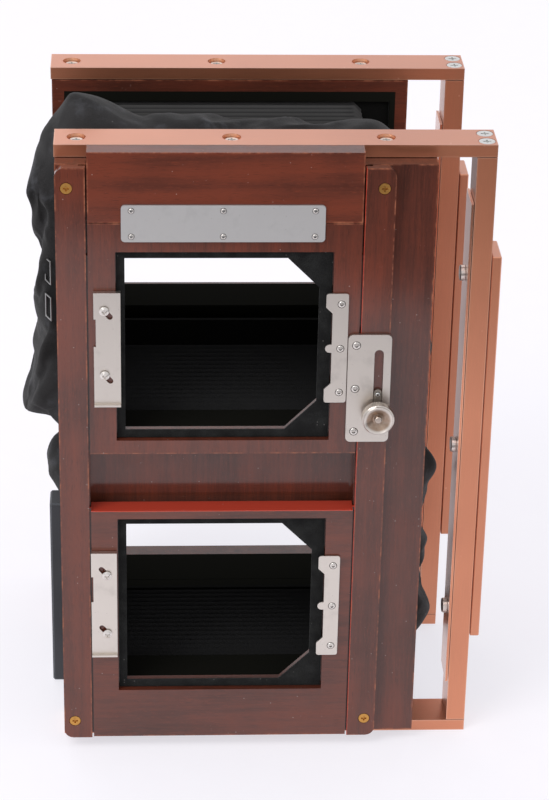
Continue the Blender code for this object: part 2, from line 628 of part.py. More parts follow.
upper_panel = lens_panel("upper", upper_bottom, rail_bottom - FIT, upper_seat,
                         rail_bottom - TONGUE_STOP, upper_body)
lower_panel = lens_panel("lower", lower_bottom, lower_top, lower_seat, lower_top, front)
box("panel_top_rail", here(panel_left, face, rail_bottom), here(panel_right, panel_back, panel_top),
    mahogany, upper_body)
name_middle = (panel_left + panel_right) / 2 + NAME_OFFSET
sheet("name_plate", rounded(name_middle - NAME_WIDTH / 2, name_middle + NAME_WIDTH / 2,
                            rail_bottom - NAME_HEIGHT / 2, rail_bottom + NAME_HEIGHT / 2, NAME_CORNER),
      plate_back, NAME_THICKNESS, satin_plate, upper_body)


# ---- latches and catches ------------------------------------------------------------------------
def latch(word, middle, opened, panel, parent):
    """A latch that slides along two slanted slots; opened is how far it stands from locked."""
    shift = latch_way * opened
    left = seat_left + LATCH_OVERLAP - LATCH_WIDTH
    low = middle - LATCH_LENGTH / 2
    high = middle + LATCH_LENGTH / 2
    screws = [(left + LATCH_SCREW_INSET, high - LATCH_SCREW_DROP),
              (left + LATCH_SCREW_INSET, high - LATCH_SCREW_DROP - LATCH_SCREW_PITCH)]
    pivot = here(screws[0][0], plate_back, screws[0][1])
    body = empty(f"latch_{word}_slide", pivot + shift, parent)
    front_y = plate_back - LATCH_THICKNESS
    lip_y = front_y - LATCH_LIP
    outline = [(low, plate_back), (high, plate_back), (high, lip_y), (high - LATCH_THICKNESS, lip_y),
               (high - LATCH_THICKNESS, front_y), (low + LATCH_THICKNESS, front_y),
               (low + LATCH_THICKNESS, lip_y), (low, lip_y)]
    plate = prism(f"latch_{word}", [here(left, y, z) + shift for z, y in outline],
                  Vector((LATCH_WIDTH, 0, 0)), nickel, body)
    notch_low = middle + LATCH_SCREW_PITCH / 4 - LATCH_NOTCH_LENGTH / 2
    notch = box(f"latch_{word}_notch", here(left - PAST, lip_y - PAST, notch_low) + shift,
                here(left + LATCH_NOTCH_DEPTH, plate_back + PAST, notch_low + LATCH_NOTCH_LENGTH) + shift,
                None, body)
    cut(plate, notch)
    half = LATCH_SCREW_SHANK + SHANK_GAP
    for number, (x, z) in enumerate(screws):
        turn = math.degrees(LATCH_ANGLE)
        far_x = x - latch_way.x * LATCH_TRAVEL
        far_z = z - latch_way.z * LATCH_TRAVEL
        slot = arc(x, z, half, 90 - turn, 270 - turn) + arc(far_x, far_z, half, -90 - turn, 90 - turn)
        tool = prism(f"latch_{word}_slot_{number}",
                     [here(px, plate_back + PAST, pz) + shift for px, pz in slot],
                     Vector((0, -LATCH_THICKNESS - 2 * PAST, 0)), None, body)
        cut(plate, tool)
        seat = here(x, front_y - FIT, z)
        length = LATCH_THICKNESS + 2 * FIT + LATCH_SCREW_BITE
        profile = [(0, LATCH_SCREW_DOME), (LATCH_SCREW_HEAD / 2, LATCH_SCREW_DOME),
                   (LATCH_SCREW_HEAD, LATCH_SCREW_RIM), (LATCH_SCREW_HEAD, 0), (LATCH_SCREW_SHANK, 0),
                   (LATCH_SCREW_SHANK, -length), (0, -length)]
        screw = turned(f"latch_{word}_screw_{number + 1}", profile, seat, (0, -1, 0), nickel, parent)
        cross_recess(screw, seat - Vector((0, LATCH_SCREW_DOME, 0)), (0, -1, 0), LATCH_SCREW_HEAD, parent)
        clear = LATCH_SCREW_SHANK + SHANK_GAP
        hole(panel, f"latch_{word}_pilot_{number}", seat, (0, -1, 0),
             [(0, 0), (clear, 0), (clear, -length - FIT), (0, -length - FIT)], parent)


def catch(word, seat_bottom, right, parent):
    """The fixed plate that holds the board's right edge: wide ends, a waist and a nub."""
    middle = seat_bottom + SEAT_HEIGHT / 2
    left = seat_right - CATCH_OVERLAP
    low = middle - CATCH_LENGTH / 2
    high = middle + CATCH_LENGTH / 2
    waist_x = left + CATCH_OVERLAP
    waist = CATCH_WAIST_LENGTH / 2
    corner = CATCH_CORNER
    outline = arc(right - corner, low + corner, corner, -90, 0, 3)
    outline += arc(right - corner, high - corner, corner, 0, 90, 3)
    outline += arc(left + corner, high - corner, corner, 90, 180, 3)
    outline += [(left, middle + waist + CATCH_OVERLAP), (waist_x, middle + waist)]
    outline += [(waist_x, middle + CATCH_NUB)] + arc(left + CATCH_NUB, middle, CATCH_NUB, 90, 270, 6)
    outline += [(waist_x, middle - CATCH_NUB)]
    outline += [(waist_x, middle - waist), (left, middle - waist - CATCH_OVERLAP)]
    outline += arc(left + corner, low + corner, corner, 180, 270, 3)
    sheet(f"catch_{word}", outline, plate_back, CATCH_THICKNESS, nickel, parent)


latch("upper", upper_seat + SEAT_HEIGHT / 2, 0.0, upper_panel, upper_body)
latch("lower", lower_seat + SEAT_HEIGHT / 2 - LOWER_LATCH_DROP, LATCH_TRAVEL, lower_panel, front)
lock_left = panel_right - LOCK_ON_PANEL
catch("upper", upper_seat, lock_left - LOCK_GAP, upper_body)
catch("lower", lower_seat, seat_right - CATCH_OVERLAP + CATCH_WIDTH, front)

# ---- shift lock ---------------------------------------------------------------------------------
lock_top = upper_seat + SEAT_HEIGHT - LOCK_DROP
lock_bottom = lock_top - LOCK_HEIGHT
lock_plate = sheet("shift_lock_plate", rounded(lock_left, lock_left + LOCK_WIDTH, lock_bottom, lock_top,
                                               LOCK_CORNER), plate_back, LOCK_THICKNESS, nickel, upper_body)
slot_x = lock_left + SLOT_INSET + SLOT_WIDTH / 2
slot_low = lock_bottom + SLOT_END
slot_high = lock_top - SLOT_END
slot_round = SLOT_WIDTH / 2
slot_outline = (arc(slot_x, slot_low + slot_round, slot_round, 180, 360, 8)
                + arc(slot_x, slot_high - slot_round, slot_round, 0, 180, 8))
cut(lock_plate, sheet("lock_slot", slot_outline, plate_back + PAST, LOCK_THICKNESS + 2 * PAST, None,
                      upper_body))

block_half = SLOT_WIDTH / 2 - FIT
block_low = slot_low + FIT
block_face = plate_back - LOCK_THICKNESS + BLOCK_RECESS
block_outline = (arc(slot_x, block_low + block_half, block_half, 180, 360, 8)
                 + arc(slot_x, block_low + BLOCK_LENGTH - block_half, block_half, 0, 180, 8))
guide = sheet("lock_guide_block", block_outline, plate_back, plate_back - block_face, steel, front)
stud_z = block_low + STUD_UP
stud_foot = here(slot_x, plate_back - STUD_ROOT, stud_z)
washer_back = plate_back - LOCK_THICKNESS - FIT
knob_back = washer_back - WASHER_THICKNESS - FIT
stud_height = plate_back - STUD_ROOT - (knob_back - KNOB_BORE_DEPTH + FIT)
join(guide, turned("clamp_stud", [(0, 0), (STUD_RADIUS, 0), (STUD_RADIUS, stud_height), (0, stud_height)],
                   stud_foot, (0, -1, 0), None, front, 24))

washer_body = empty("clamp_slide", here(slot_x, washer_back, stud_z), front)
bore = STUD_RADIUS + RUNNING
turned("clamp_washer", [(bore, 0), (WASHER_RADIUS, 0), (WASHER_RADIUS, WASHER_THICKNESS),
                        (bore, WASHER_THICKNESS), (bore, 0)],
       here(slot_x, washer_back, stud_z), (0, -1, 0), steel, washer_body, 24)
knob_body = empty("knob_turn", here(slot_x, knob_back, stud_z), washer_body)
dish = KNOB_HEIGHT - KNOB_DISH_DEPTH
knob_rim = KNOB_RADIUS - KNOB_CHAMFER
knob_profile = [(0, KNOB_BORE_DEPTH), (bore, KNOB_BORE_DEPTH), (bore, 0), (KNOB_COLLAR_RADIUS, 0),
                (KNOB_COLLAR_RADIUS, KNOB_COLLAR_HEIGHT), (knob_rim, KNOB_COLLAR_HEIGHT),
                (KNOB_RADIUS, KNOB_COLLAR_HEIGHT + KNOB_CHAMFER), (KNOB_RADIUS, KNOB_HEIGHT - KNOB_CHAMFER),
                (knob_rim, KNOB_HEIGHT), (KNOB_DISH_RADIUS + KNOB_LIP, KNOB_HEIGHT),
                (KNOB_DISH_RADIUS, dish + KNOB_LIP), (KNOB_DISH_RADIUS - KNOB_LIP, dish),
                (KNOB_BOSS_RADIUS, dish), (KNOB_BOSS_RADIUS, dish + KNOB_BOSS_HEIGHT),
                (0, dish + KNOB_BOSS_HEIGHT)]
turned("thumb_knob", knob_profile, here(slot_x, knob_back, stud_z), (0, -1, 0), nickel, knob_body, 32)

# ---- rear frame, bellows board and film back ----------------------------------------------------
rear_left = rear_x + frame_left
rear_right = rear_x + frame_right
rear_frame = box("rear_frame", here(rear_left, rear_y, frame_bottom),
                 here(rear_right, rear_y + STANDARD_DEPTH, frame_top), mahogany, rear)
open_left = rear_left + REAR_BAR_SIDE
open_right = rear_right - REAR_BAR_SIDE
open_low = frame_bottom + REAR_BAR_END
open_high = frame_top - REAR_BAR_END
cut(rear_frame, box("rear_frame_opening", here(open_left, rear_y - PAST, open_low),
                    here(open_right, rear_y + STANDARD_DEPTH + PAST, open_high), None, rear))
frame_screw_holes(rear_frame, "rear", rear_x, rear_y, rear)

middle_z = (open_low + open_high) / 2
septum_low = middle_z - SEPTUM_HEIGHT / 2
septum_high = middle_z + SEPTUM_HEIGHT / 2
board_front = rear_y + BOARD_SET_BACK
board = box("bellows_board", here(open_left + FIT, board_front, open_low + FIT),
            here(open_right - FIT, board_front + BOARD_THICKNESS, open_high - FIT), matt_black, rear)
board_right = open_right - BOARD_RIM - BELLOWS_RIGHT_REAR
board_back = board_front + BOARD_THICKNESS
for word, low, high in (("lower", open_low + BOARD_RIM, septum_low),
                        ("upper", septum_high, open_high - BOARD_RIM)):
    cut(board, box(f"board_window_{word}", here(open_left + BOARD_RIM, board_front - PAST, low),
                   here(board_right, board_back + PAST, high), None, rear))

back_front = rear_y + STANDARD_DEPTH + FIT
back_rear = back_front + BACK_DEPTH
back_low = frame_bottom
back_high = frame_top - BACK_LOWERED
film_back = box("film_back", here(rear_left, back_front, back_low), here(rear_right, back_rear, back_high),
                mahogany, rear)
back_open_high = back_high - BACK_END_BAR
for word, low, high in (("lower", open_low, septum_low), ("upper", septum_high, back_open_high)):
    cut(film_back, box(f"film_opening_{word}", here(open_left, back_front - PAST, low),
                       here(open_right, back_rear + PAST, high), None, rear))
cut(film_back, box("septum_short", here(open_left, back_rear - SEPTUM_SHORT, septum_low - PAST),
                   here(open_right, back_rear + PAST, septum_high + PAST), None, rear))


# ---- bellows ------------------------------------------------------------------------------------
def loft(name, rings, surface, parent):
    """Bridges closed rings of world points into one closed tube, the last ring back to the first."""
    mesh_data = bmesh.new()
    loops = []
    for ring in rings:
        points = [mesh_data.verts.new(point) for point in ring]
        pairs = zip(points, points[1:] + points[:1])
        loops.append([mesh_data.edges.new(pair) for pair in pairs])
    for first, second in zip(loops, loops[1:] + loops[:1]):
        bmesh.ops.bridge_loops(mesh_data, edges=first + second)
    centre = sum((vert.co for vert in mesh_data.verts), Vector()) / len(mesh_data.verts)
    return finish_mesh(name, mesh_data, centre, surface, parent)


def blend(first, second, share):
    return first + (second - first) * share


bellows_front = front_back + FIT
bellows_rear = board_front - FIT
bellows_mid = (lower_top + upper_bottom) / 2
# each pair: front and rear value of the left, right, bottom and top outer side
bellows_sides = {
    "lower": ((frame_left + BELLOWS_SIDE_FRONT, open_left + BELLOWS_SIDE_REAR),
              (frame_right - BELLOWS_RIGHT_FRONT, open_right - BELLOWS_RIGHT_REAR),
              (frame_bottom + BELLOWS_END_FRONT, open_low + BELLOWS_END_REAR),
              (bellows_mid - BELLOWS_MIDDLE_GAP / 2, middle_z - BELLOWS_MIDDLE_GAP / 2)),
    "upper": ((frame_left + BELLOWS_SIDE_FRONT, open_left + BELLOWS_SIDE_REAR),
              (frame_right - BELLOWS_RIGHT_FRONT, open_right - BELLOWS_RIGHT_REAR),
              (bellows_mid + BELLOWS_MIDDLE_GAP / 2, middle_z + BELLOWS_MIDDLE_GAP / 2),
              (frame_top - BELLOWS_END_FRONT, open_high - BELLOWS_END_REAR)),
}


def bellows_box(word, share):
    return [blend(front_value, rear_value, share) for front_value, rear_value in bellows_sides[word]]


def bellows(word):
    """A tapered square tube of knife pleats; its wall follows them inside and outside."""
    outer_rings = []
    inner_rings = []
    steps = 2 * PLEATS
    for step in range(steps + 1):
        share = step / steps
        y = blend(bellows_front, bellows_rear, share)
        left, right, low, high = bellows_box(word, share)
        fold = PLEAT_DEPTH if step % 2 else 0.0
        for rings, inset in ((outer_rings, fold), (inner_rings, fold + BELLOWS_WALL)):
            rings.append([here(left + inset, y, low + inset), here(right - inset, y, low + inset),
                          here(right - inset, y, high - inset), here(left + inset, y, high - inset)])
    loft(f"bellows_{word}", outer_rings + inner_rings[::-1], bellows_black, rear)


bellows("lower")
bellows("upper")


# ---- bags ---------------------------------------------------------------------------------------
def bag_ring(y, left, right, low, high, corner, bulge_left, bulge_right, bulge_end):
    """A rounded rectangle whose sides swell outwards, as world points at depth y."""
    points = []
    for x, z in rounded(left, right, low, high, corner):
        across = (x - left) / (right - left)
        up = (z - low) / (high - low)
        swell_x = math.sin(math.pi * min(max(up, 0.0), 1.0)) ** 0.5
        swell_z = math.sin(math.pi * min(max(across, 0.0), 1.0)) ** 0.5
        if across < 0.5:
            x -= bulge_left(z) * swell_x * (1 - 2 * across)
        else:
            x += bulge_right(z) * swell_x * (2 * across - 1)
        z += bulge_end(up) * swell_z
        points.append(here(x, y, z))
    return points


def bag(word, left_bulge, right_bulge, end_bulge):
    """A soft sleeve round a bellows, fullest in its middle and gathered at both ends."""
    start = front_back + BAG_GAP
    outer_rings = []
    inner_rings = []
    for station in range(BAG_STATIONS + 1):
        share = station / BAG_STATIONS
        y = start + BAG_LENGTH * share
        left, right, low, high = bellows_box(word, (y - bellows_front) / (bellows_rear - bellows_front))
        full = math.sin(math.pi * min(0.12 + share * 0.8, 1.0)) ** 0.6
        for rings, clear, fullness in ((outer_rings, BAG_CLEAR + BAG_WALL, full),
                                       (inner_rings, BAG_CLEAR, 0.0)):
            rings.append(bag_ring(y, left - clear, right + clear, low - clear, high + clear, BAG_CORNER,
                                  lambda z, f=fullness: left_bulge(z) * f,
                                  lambda z, f=fullness: right_bulge(z) * f,
                                  lambda up, f=fullness: end_bulge(up) * f))
    loft(f"bag_{word}", outer_rings + inner_rings[::-1], suede_black, rear)


def upper_end(up):
    return BAG_BULGE_END if up > 0.5 else -BAG_BULGE_END * BAG_LOW_SHARE


def lower_left(z):
    """The lower bag swells to the left only above the side block."""
    clear_of_block = min(max((z - BLOCK_HEIGHT) / BAG_OVER_BLOCK, 0.0), 1.0)
    return BAG_BULGE_LEFT * BAG_LOWER_SHARE * clear_of_block


def lower_end(up):
    return 0.0 if up > 0.5 else -BAG_LOWER_SAG


bag("upper", lambda z: BAG_BULGE_LEFT, lambda z: BAG_BULGE_RIGHT, upper_end)
bag("lower", lower_left, lambda z: BAG_BULGE_RIGHT, lower_end)

# ---- side block ---------------------------------------------------------------------------------
block_front = front_back + BLOCK_BACK
side_block = box("side_block", here(-BLOCK_OUT, block_front, 0.0),
                 here(-BLOCK_OUT + BLOCK_WIDTH, block_front + BLOCK_DEPTH, BLOCK_HEIGHT), matt_black, rear)
soften(side_block, BLOCK_BEVEL)
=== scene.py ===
# %% [markdown]
# # Stereo view camera, standing on its end
# The camera has two bronze anodised C-shaped standards.  Each one clamps a wooden frame.  The front
# frame carries two lens panels with velvet seats, nickel latches and catches, and a thumb knob that
# locks the upper panel.  Two black bellows run to the film back, and soft black bags cover them.
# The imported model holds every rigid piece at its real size, so this lesson only adds the looks:
# finishes made of nodes, small screws, the knurled knob, the folded bellows and the sagging bags.

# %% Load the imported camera
import math

import bmesh
import bpy
from mathutils import Matrix, Vector, noise
from mathutils.bvhtree import BVHTree


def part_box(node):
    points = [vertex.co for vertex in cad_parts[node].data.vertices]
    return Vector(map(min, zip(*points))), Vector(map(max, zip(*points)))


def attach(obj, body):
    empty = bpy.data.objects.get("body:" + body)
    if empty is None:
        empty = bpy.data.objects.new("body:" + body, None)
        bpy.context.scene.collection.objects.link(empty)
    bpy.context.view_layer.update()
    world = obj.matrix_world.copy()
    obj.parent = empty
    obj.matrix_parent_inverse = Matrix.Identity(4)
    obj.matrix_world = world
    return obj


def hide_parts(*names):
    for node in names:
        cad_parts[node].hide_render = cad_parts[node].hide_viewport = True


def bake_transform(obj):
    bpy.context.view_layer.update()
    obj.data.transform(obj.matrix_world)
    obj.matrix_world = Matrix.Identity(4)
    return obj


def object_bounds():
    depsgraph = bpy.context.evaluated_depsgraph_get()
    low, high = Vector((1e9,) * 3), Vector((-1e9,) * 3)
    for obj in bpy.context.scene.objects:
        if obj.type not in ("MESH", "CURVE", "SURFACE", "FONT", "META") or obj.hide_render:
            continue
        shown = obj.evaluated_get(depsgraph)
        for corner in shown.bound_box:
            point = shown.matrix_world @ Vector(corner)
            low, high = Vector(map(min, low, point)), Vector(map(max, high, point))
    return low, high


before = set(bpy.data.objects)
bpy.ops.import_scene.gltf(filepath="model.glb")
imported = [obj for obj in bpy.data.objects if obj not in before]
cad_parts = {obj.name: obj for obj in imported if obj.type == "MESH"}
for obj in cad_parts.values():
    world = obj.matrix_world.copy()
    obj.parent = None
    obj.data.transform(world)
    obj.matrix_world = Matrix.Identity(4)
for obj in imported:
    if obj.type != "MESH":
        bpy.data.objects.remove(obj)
cad_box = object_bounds()
MM = 0.001

# %% [markdown]
# ## Writing shader maths as expressions
# A finish is a web of nodes, and a web written link by link is hard to read.  `Value` wraps one
# output of a node, so that `1 - mask * 0.5` adds the Math nodes by itself.  `Finish` owns the
# material, and its `node` method adds every other kind of node.

# %% Values and finishes
class Value:
    """One number that varies over a surface."""

    def __init__(self, finish, socket):
        self.finish = finish
        self.socket = socket

    def __add__(self, other):
        return self.finish.math("ADD", self, other)

    def __sub__(self, other):
        return self.finish.math("SUBTRACT", self, other)

    def __rsub__(self, other):
        return self.finish.math("SUBTRACT", other, self)

    def __mul__(self, other):
        return self.finish.math("MULTIPLY", self, other)

    __radd__ = __add__
    __rmul__ = __mul__


class Finish:
    """A material whose nodes are added by short calls."""

    def __init__(self, name):
        self.material = bpy.data.materials.new(name)
        self.material.use_nodes = True
        self.tree = self.material.node_tree
        self.shader = self.tree.nodes["Principled BSDF"]
        self.place = self.node("ShaderNodeTexCoord", output="Object")

    def node(self, kind, settings=None, sockets=None, output=None):
        """Adds a node, sets its settings first and its sockets second, and gives one output."""
        made = self.tree.nodes.new(kind)
        for name, setting in (settings or {}).items():
            if name == "stops":
                self.set_stops(made.color_ramp, setting)
            else:
                setattr(made, name, setting)
        for name, item in (sockets or {}).items():
            self.feed(self.socket(made.inputs, name), item)
        found = made.outputs[0] if output is None else self.socket(made.outputs, output)
        return Value(self, found)

    def socket(self, sockets, name):
        if isinstance(name, int):
            return sockets[name]
        return next(item for item in sockets if name in (item.identifier, item.name))

    def feed(self, socket, item):
        if isinstance(item, Value):
            self.tree.links.new(item.socket, socket)
        elif isinstance(item, tuple) and socket.type == "RGBA":
            socket.default_value = (*item[:3], 1.0)
        else:
            socket.default_value = item

    def set_stops(self, ramp, stops):
        while len(ramp.elements) > 1:
            ramp.elements.remove(ramp.elements[-1])
        for number, (position, colour) in enumerate(stops):
            stop = ramp.elements[0] if number == 0 else ramp.elements.new(position)
            stop.position = position
            stop.color = (*colour, 1.0)

    def math(self, operation, *items):
        return self.node("ShaderNodeMath", {"operation": operation}, dict(enumerate(items)))

    def least(self, first, second):
        return self.math("MINIMUM", first, second)

    def most(self, first, second):
        return self.math("MAXIMUM", first, second)

    def step(self, item, low, high):
        """0 below low, 1 above high, and a smooth rise between."""
        ends = {"Value": item, "From Min": low, "From Max": high}
        return self.node("ShaderNodeMapRange", {"interpolation_type": "SMOOTHSTEP"}, ends)

    def stretch(self, x, y, z):
        """The place on the object with each axis stretched, for patterns that run one way."""
        sockets = {0: self.place, 1: (x, y, z)}
        return self.node("ShaderNodeVectorMath", {"operation": "MULTIPLY"}, sockets)

    def noise(self, where, scale, detail=3.0, roughness=0.5, distortion=0.0):
        sockets = {"Vector": where, "Scale": scale, "Detail": detail, "Roughness": roughness,
                   "Distortion": distortion}
        return self.node("ShaderNodeTexNoise", None, sockets, "Fac")

    def specks(self, scale, size, amount):
        """Small round specks: 1 inside one, 0 elsewhere; amount is the share of cells with one."""
        sockets = {"Vector": self.place, "Scale": scale}
        cells = self.node("ShaderNodeTexVoronoi", {"feature": "F1"}, sockets, "Distance")
        chosen = self.node("ShaderNodeTexVoronoi", {"feature": "F1"}, sockets, "Color")
        pick = self.node("ShaderNodeSeparateColor", None, {"Color": chosen}, "Red")
        return (1 - self.step(cells, size * 0.5, size)) * self.step(pick, 1 - amount, 1.001 - amount)

    def mix(self, share, first, second, way="MIX"):
        settings = {"data_type": "RGBA", "blend_type": way}
        sockets = {"Factor_Float": share, "A_Color": first, "B_Color": second}
        return self.node("ShaderNodeMix", settings, sockets, "Result_Color")

    def ramp(self, item, *stops):
        return self.node("ShaderNodeValToRGB", {"stops": stops}, {"Fac": item}, "Color")

    def axis(self, name):
        return self.node("ShaderNodeSeparateXYZ", None, {"Vector": self.place}, name)

    def bump(self, height, distance, strength=1.0):
        sockets = {"Height": height, "Distance": distance, "Strength": strength}
        normal = self.node("ShaderNodeBump", None, sockets)
        self.set(Normal=normal)

    def set(self, **sockets):
        """Sets sockets of the surface shader; an underscore in a name stands for a space."""
        for name, item in sockets.items():
            self.feed(self.shader.inputs[name.replace("_", " ")], item)

    def cover(self, mask, colour):
        """Mixes in a dull paint of one colour wherever the mask is 1."""
        sockets = {"Base Color": colour, "Roughness": 0.95, "Specular IOR Level": 0.02}
        dull = self.node("ShaderNodeBsdfPrincipled", None, sockets, "BSDF")
        under = Value(self, self.shader.outputs["BSDF"])
        both = self.node("ShaderNodeMixShader", None, {0: mask, 1: under, 2: dull})
        self.tree.links.new(both.socket, self.tree.nodes["Material Output"].inputs["Surface"])

    def within(self, low, high):
        """A mask of the part of a piece that lies inside a box."""
        inside = None
        for name, start, end in zip("XYZ", low, high):
            along = self.axis(name)
            band = self.step(along, start - 0.05 * MM, start + 0.05 * MM)
            band = band * (1 - self.step(along, end - 0.05 * MM, end + 0.05 * MM))
            inside = band if inside is None else inside * band
        return inside

    def radius(self, first, second, middle):
        """How far a point is from a line that runs along the third axis through middle."""
        centres = ((first, middle[0]), (second, middle[1]))
        off = [self.axis(name) - centre for name, centre in centres]
        return self.math("SQRT", off[0] * off[0] + off[1] * off[1])

    def edge_distance(self, low, high):
        """How far a point on a box-shaped piece is from the piece's nearest edge.

        On a face one of the three distances to the sides is nought, so the middle one is it."""
        nears = []
        for name, start, end in zip("XYZ", low, high):
            along = self.axis(name)
            nears.append(self.least(along - start, end - along))
        first, second, third = nears
        return self.most(self.least(first, second), self.least(self.most(first, second), third))


def paint(piece, *finishes):
    """Puts one finish on a whole piece, or several in its material slots."""
    piece.data.materials.clear()
    for finish in finishes:
        piece.data.materials.append(finish.material)


# %% [markdown]
# ## Bronze anodised aluminium
# The standards are milled bars with a satin bronze dye in their oxide layer.  The dye is a clear
# tint over bright metal, so the surface is mostly metallic, a little rough, and grained along the
# bar by the extrusion.  The edges are paler, partly because handling rubs the dye off them first and
# partly as a painted highlight along each edge; the nearest edge's distance gives them.  Each bar
# gets its own finish, because its box gives the edges.

# %% Bronze
BRONZE_DARK = (0.56, 0.195, 0.095)
BRONZE = (0.68, 0.245, 0.120)
BRONZE_PALE = (0.84, 0.47, 0.32)
COPPER = (0.95, 0.50, 0.30)


def bronze(node, along, rough=0.30):
    """Satin bronze; along is 0 for a bar that runs in X and 2 for one that runs in Z."""
    made = Finish(f"bronze_{node}")
    drawn = [1.0, 1.0, 1.0]
    drawn[along] = 0.03
    lines = made.noise(made.stretch(*drawn), 2600.0, 2.0, 0.6)
    cloud = made.noise(made.place, 14.0, 2.0)
    grit = made.noise(made.place, 1500.0, 2.0)
    tone = cloud * 0.6 + lines * 0.25 + grit * 0.15
    dye = made.ramp(tone, (0.30, BRONZE_DARK), (0.62, BRONZE))
    low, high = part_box(node)
    edge = made.edge_distance(low, high)
    # Paler edges: partly rubbed dye, partly a painted highlight along the edges.
    rubbed = (1 - made.step(edge, 0.1 * MM, 0.6 * MM)) * made.step(cloud + grit * 0.3, 0.42, 0.75)
    scuffs = made.specks(260.0, 0.16, 0.05)
    colour = made.mix(rubbed * 0.6, dye, BRONZE_PALE)
    if node.endswith("top_arm"):
        colour = made.mix(counterbore_wall(made, node), colour, COPPER)
    made.set(Base_Color=made.mix(scuffs * 0.5, colour, BRONZE_PALE), Metallic=0.92,
             Roughness=rough + 0.12 * grit + 0.06 * lines,
             Coat_Weight=1.0, Coat_Roughness=0.32, Coat_IOR=1.6)
    made.bump(lines * 0.6 + grit * 0.4, 0.02 * MM, 0.5)
    return made


def counterbore_wall(made, node):
    """A mask of the bare copper-coloured walls round the three frame screws of an arm."""
    side = node.split("_")[0]
    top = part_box(node)[1][2]
    nearest = None
    for number in (1, 2, 3):
        low, high = (Vector(corner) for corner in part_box(f"{side}_frame_screw_{number}"))
        middle = (low + high) / 2
        away = made.radius("X", "Y", middle)
        nearest = away if nearest is None else made.least(nearest, away)
    below_top = 1 - made.step(made.axis("Z"), top - 0.25 * MM, top)
    return (1 - made.step(nearest, 4.7 * MM, 4.9 * MM)) * below_top


BARS = {"top_arm": 0, "bottom_arm": 0, "base_bar": 2, "inner_plate": 2, "foot_plate": 2}
for side in ("front", "rear"):
    for bar, way in BARS.items():
        rough = 0.14 if bar == "inner_plate" else 0.30
        paint(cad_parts[f"{side}_{bar}"], bronze(f"{side}_{bar}", way, rough))
print("bronze on", 2 * len(BARS), "bars")

# %% [markdown]
# ## Varnished mahogany
# The wood is dark and close grained: long streaks, short dark pores, and a red that shows where
# the varnish is worn through at the edges.  Stretching a noise along the grain gives the streaks,
# and a second, finer one gives the pores.  The varnish is the shader's coat.  Dust and pale scuffs
# lie on top.

# %% Mahogany
WOOD_DARK = (0.040, 0.0110, 0.0060)
WOOD = (0.080, 0.0205, 0.0115)
WOOD_RED = (0.165, 0.033, 0.0140)
WOOD_WORN = (0.42, 0.150, 0.080)
FRESH_RED = (0.50, 0.045, 0.020)
INNER_BLACK = (0.009, 0.009, 0.007)
DUST = (0.42, 0.36, 0.33)


def grain_stretch(along, squeeze):
    drawn = [1.0, 1.0, 1.0]
    drawn[along] = squeeze
    return drawn


def mahogany(node, along, red=0.35, stain=None, painted=()):
    """Varnished wood with its grain along one axis; red is how warm it is.

    stain, if given, is a function of the finish that returns a mask of fresh red stain, and painted
    is a list of boxes whose faces are painted black against stray light."""
    made = Finish(f"mahogany_{node}")
    drawn = made.stretch(*grain_stretch(along, 0.05))
    streaks = made.noise(drawn, 900.0, 4.0, 0.62, 0.3)
    bands = made.noise(drawn, 150.0, 2.0, 0.5, 0.5)
    flecks = made.noise(made.stretch(*grain_stretch(along, 0.16)), 1900.0, 2.0, 0.5)
    flecks = made.step(flecks, 0.56, 0.72)
    pores = made.noise(made.stretch(*grain_stretch(along, 0.07)), 3000.0, 2.0, 0.5)
    pores = made.step(pores, 0.58, 0.70)
    cloud = made.noise(made.place, 22.0, 2.0)
    tone = streaks * 0.35 + bands * 0.30 + cloud * 0.35
    wood = made.ramp(tone, (0.34, WOOD_DARK), (0.50, WOOD), (0.72, WOOD_RED))
    warm = made.mix((0.35 + 0.65 * made.step(cloud + bands, 0.75, 1.20)) * red, wood, WOOD_RED)
    wood = made.mix(flecks * (0.25 + 0.5 * red), warm, WOOD_RED)
    wood = made.mix(pores * 0.45, wood, WOOD_DARK)
    low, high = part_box(node)
    edge = made.edge_distance(low, high)
    patchy = made.noise(made.place, 130.0, 3.0, 0.65)
    rubbed = made.step(patchy, 0.40, 0.70)
    worn = (1 - made.step(edge, 0.15 * MM, 0.9 * MM)) * rubbed
    scuffs = made.step(made.noise(made.place, 420.0, 3.0, 0.7), 0.64, 0.72)
    scuffs = scuffs * made.step(patchy, 0.55, 0.72)
    dust = made.specks(520.0, 0.18, 0.03)
    colour = made.mix(worn * 0.75, wood, WOOD_WORN)
    if stain:
        colour = made.mix(stain(made), colour, FRESH_RED)
    colour = made.mix(scuffs * 0.30, colour, DUST)
    colour = made.mix(dust * 0.5, colour, DUST)
    made.set(Base_Color=colour, Roughness=0.50 + 0.2 * patchy + 0.2 * worn,
             Coat_Weight=1.0 - 0.5 * worn - 0.2 * patchy, Coat_Roughness=0.13, Coat_IOR=1.6,
             Specular_IOR_Level=0.12)
    made.bump(streaks * 0.3 - pores * 0.5 - worn * 0.4, 0.03 * MM, 0.5)
    if painted:
        masks = [made.within(*corners) for corners in painted]
        made.cover(masks[0] if len(masks) == 1 else made.most(*masks), INNER_BLACK)
    return made


def top_stain(node, depth):
    """A mask of the strip of a piece within depth of its top."""
    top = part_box(node)[1][2]
    return lambda made: made.step(made.axis("Z"), top - depth, top - depth * 0.5)


def side_stain(node, depth):
    """A mask of the strip of a piece within depth of its left side."""
    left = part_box(node)[0][0]
    return lambda made: 1 - made.step(made.axis("X"), left + depth * 0.5, left + depth)


# %% [markdown]
# The inner faces of the two frames and of the film back are painted black against stray light.  The
# paint stops a little before the film plane, where the bare wood shows as a grey strip.  Each box
# below holds one painted opening.

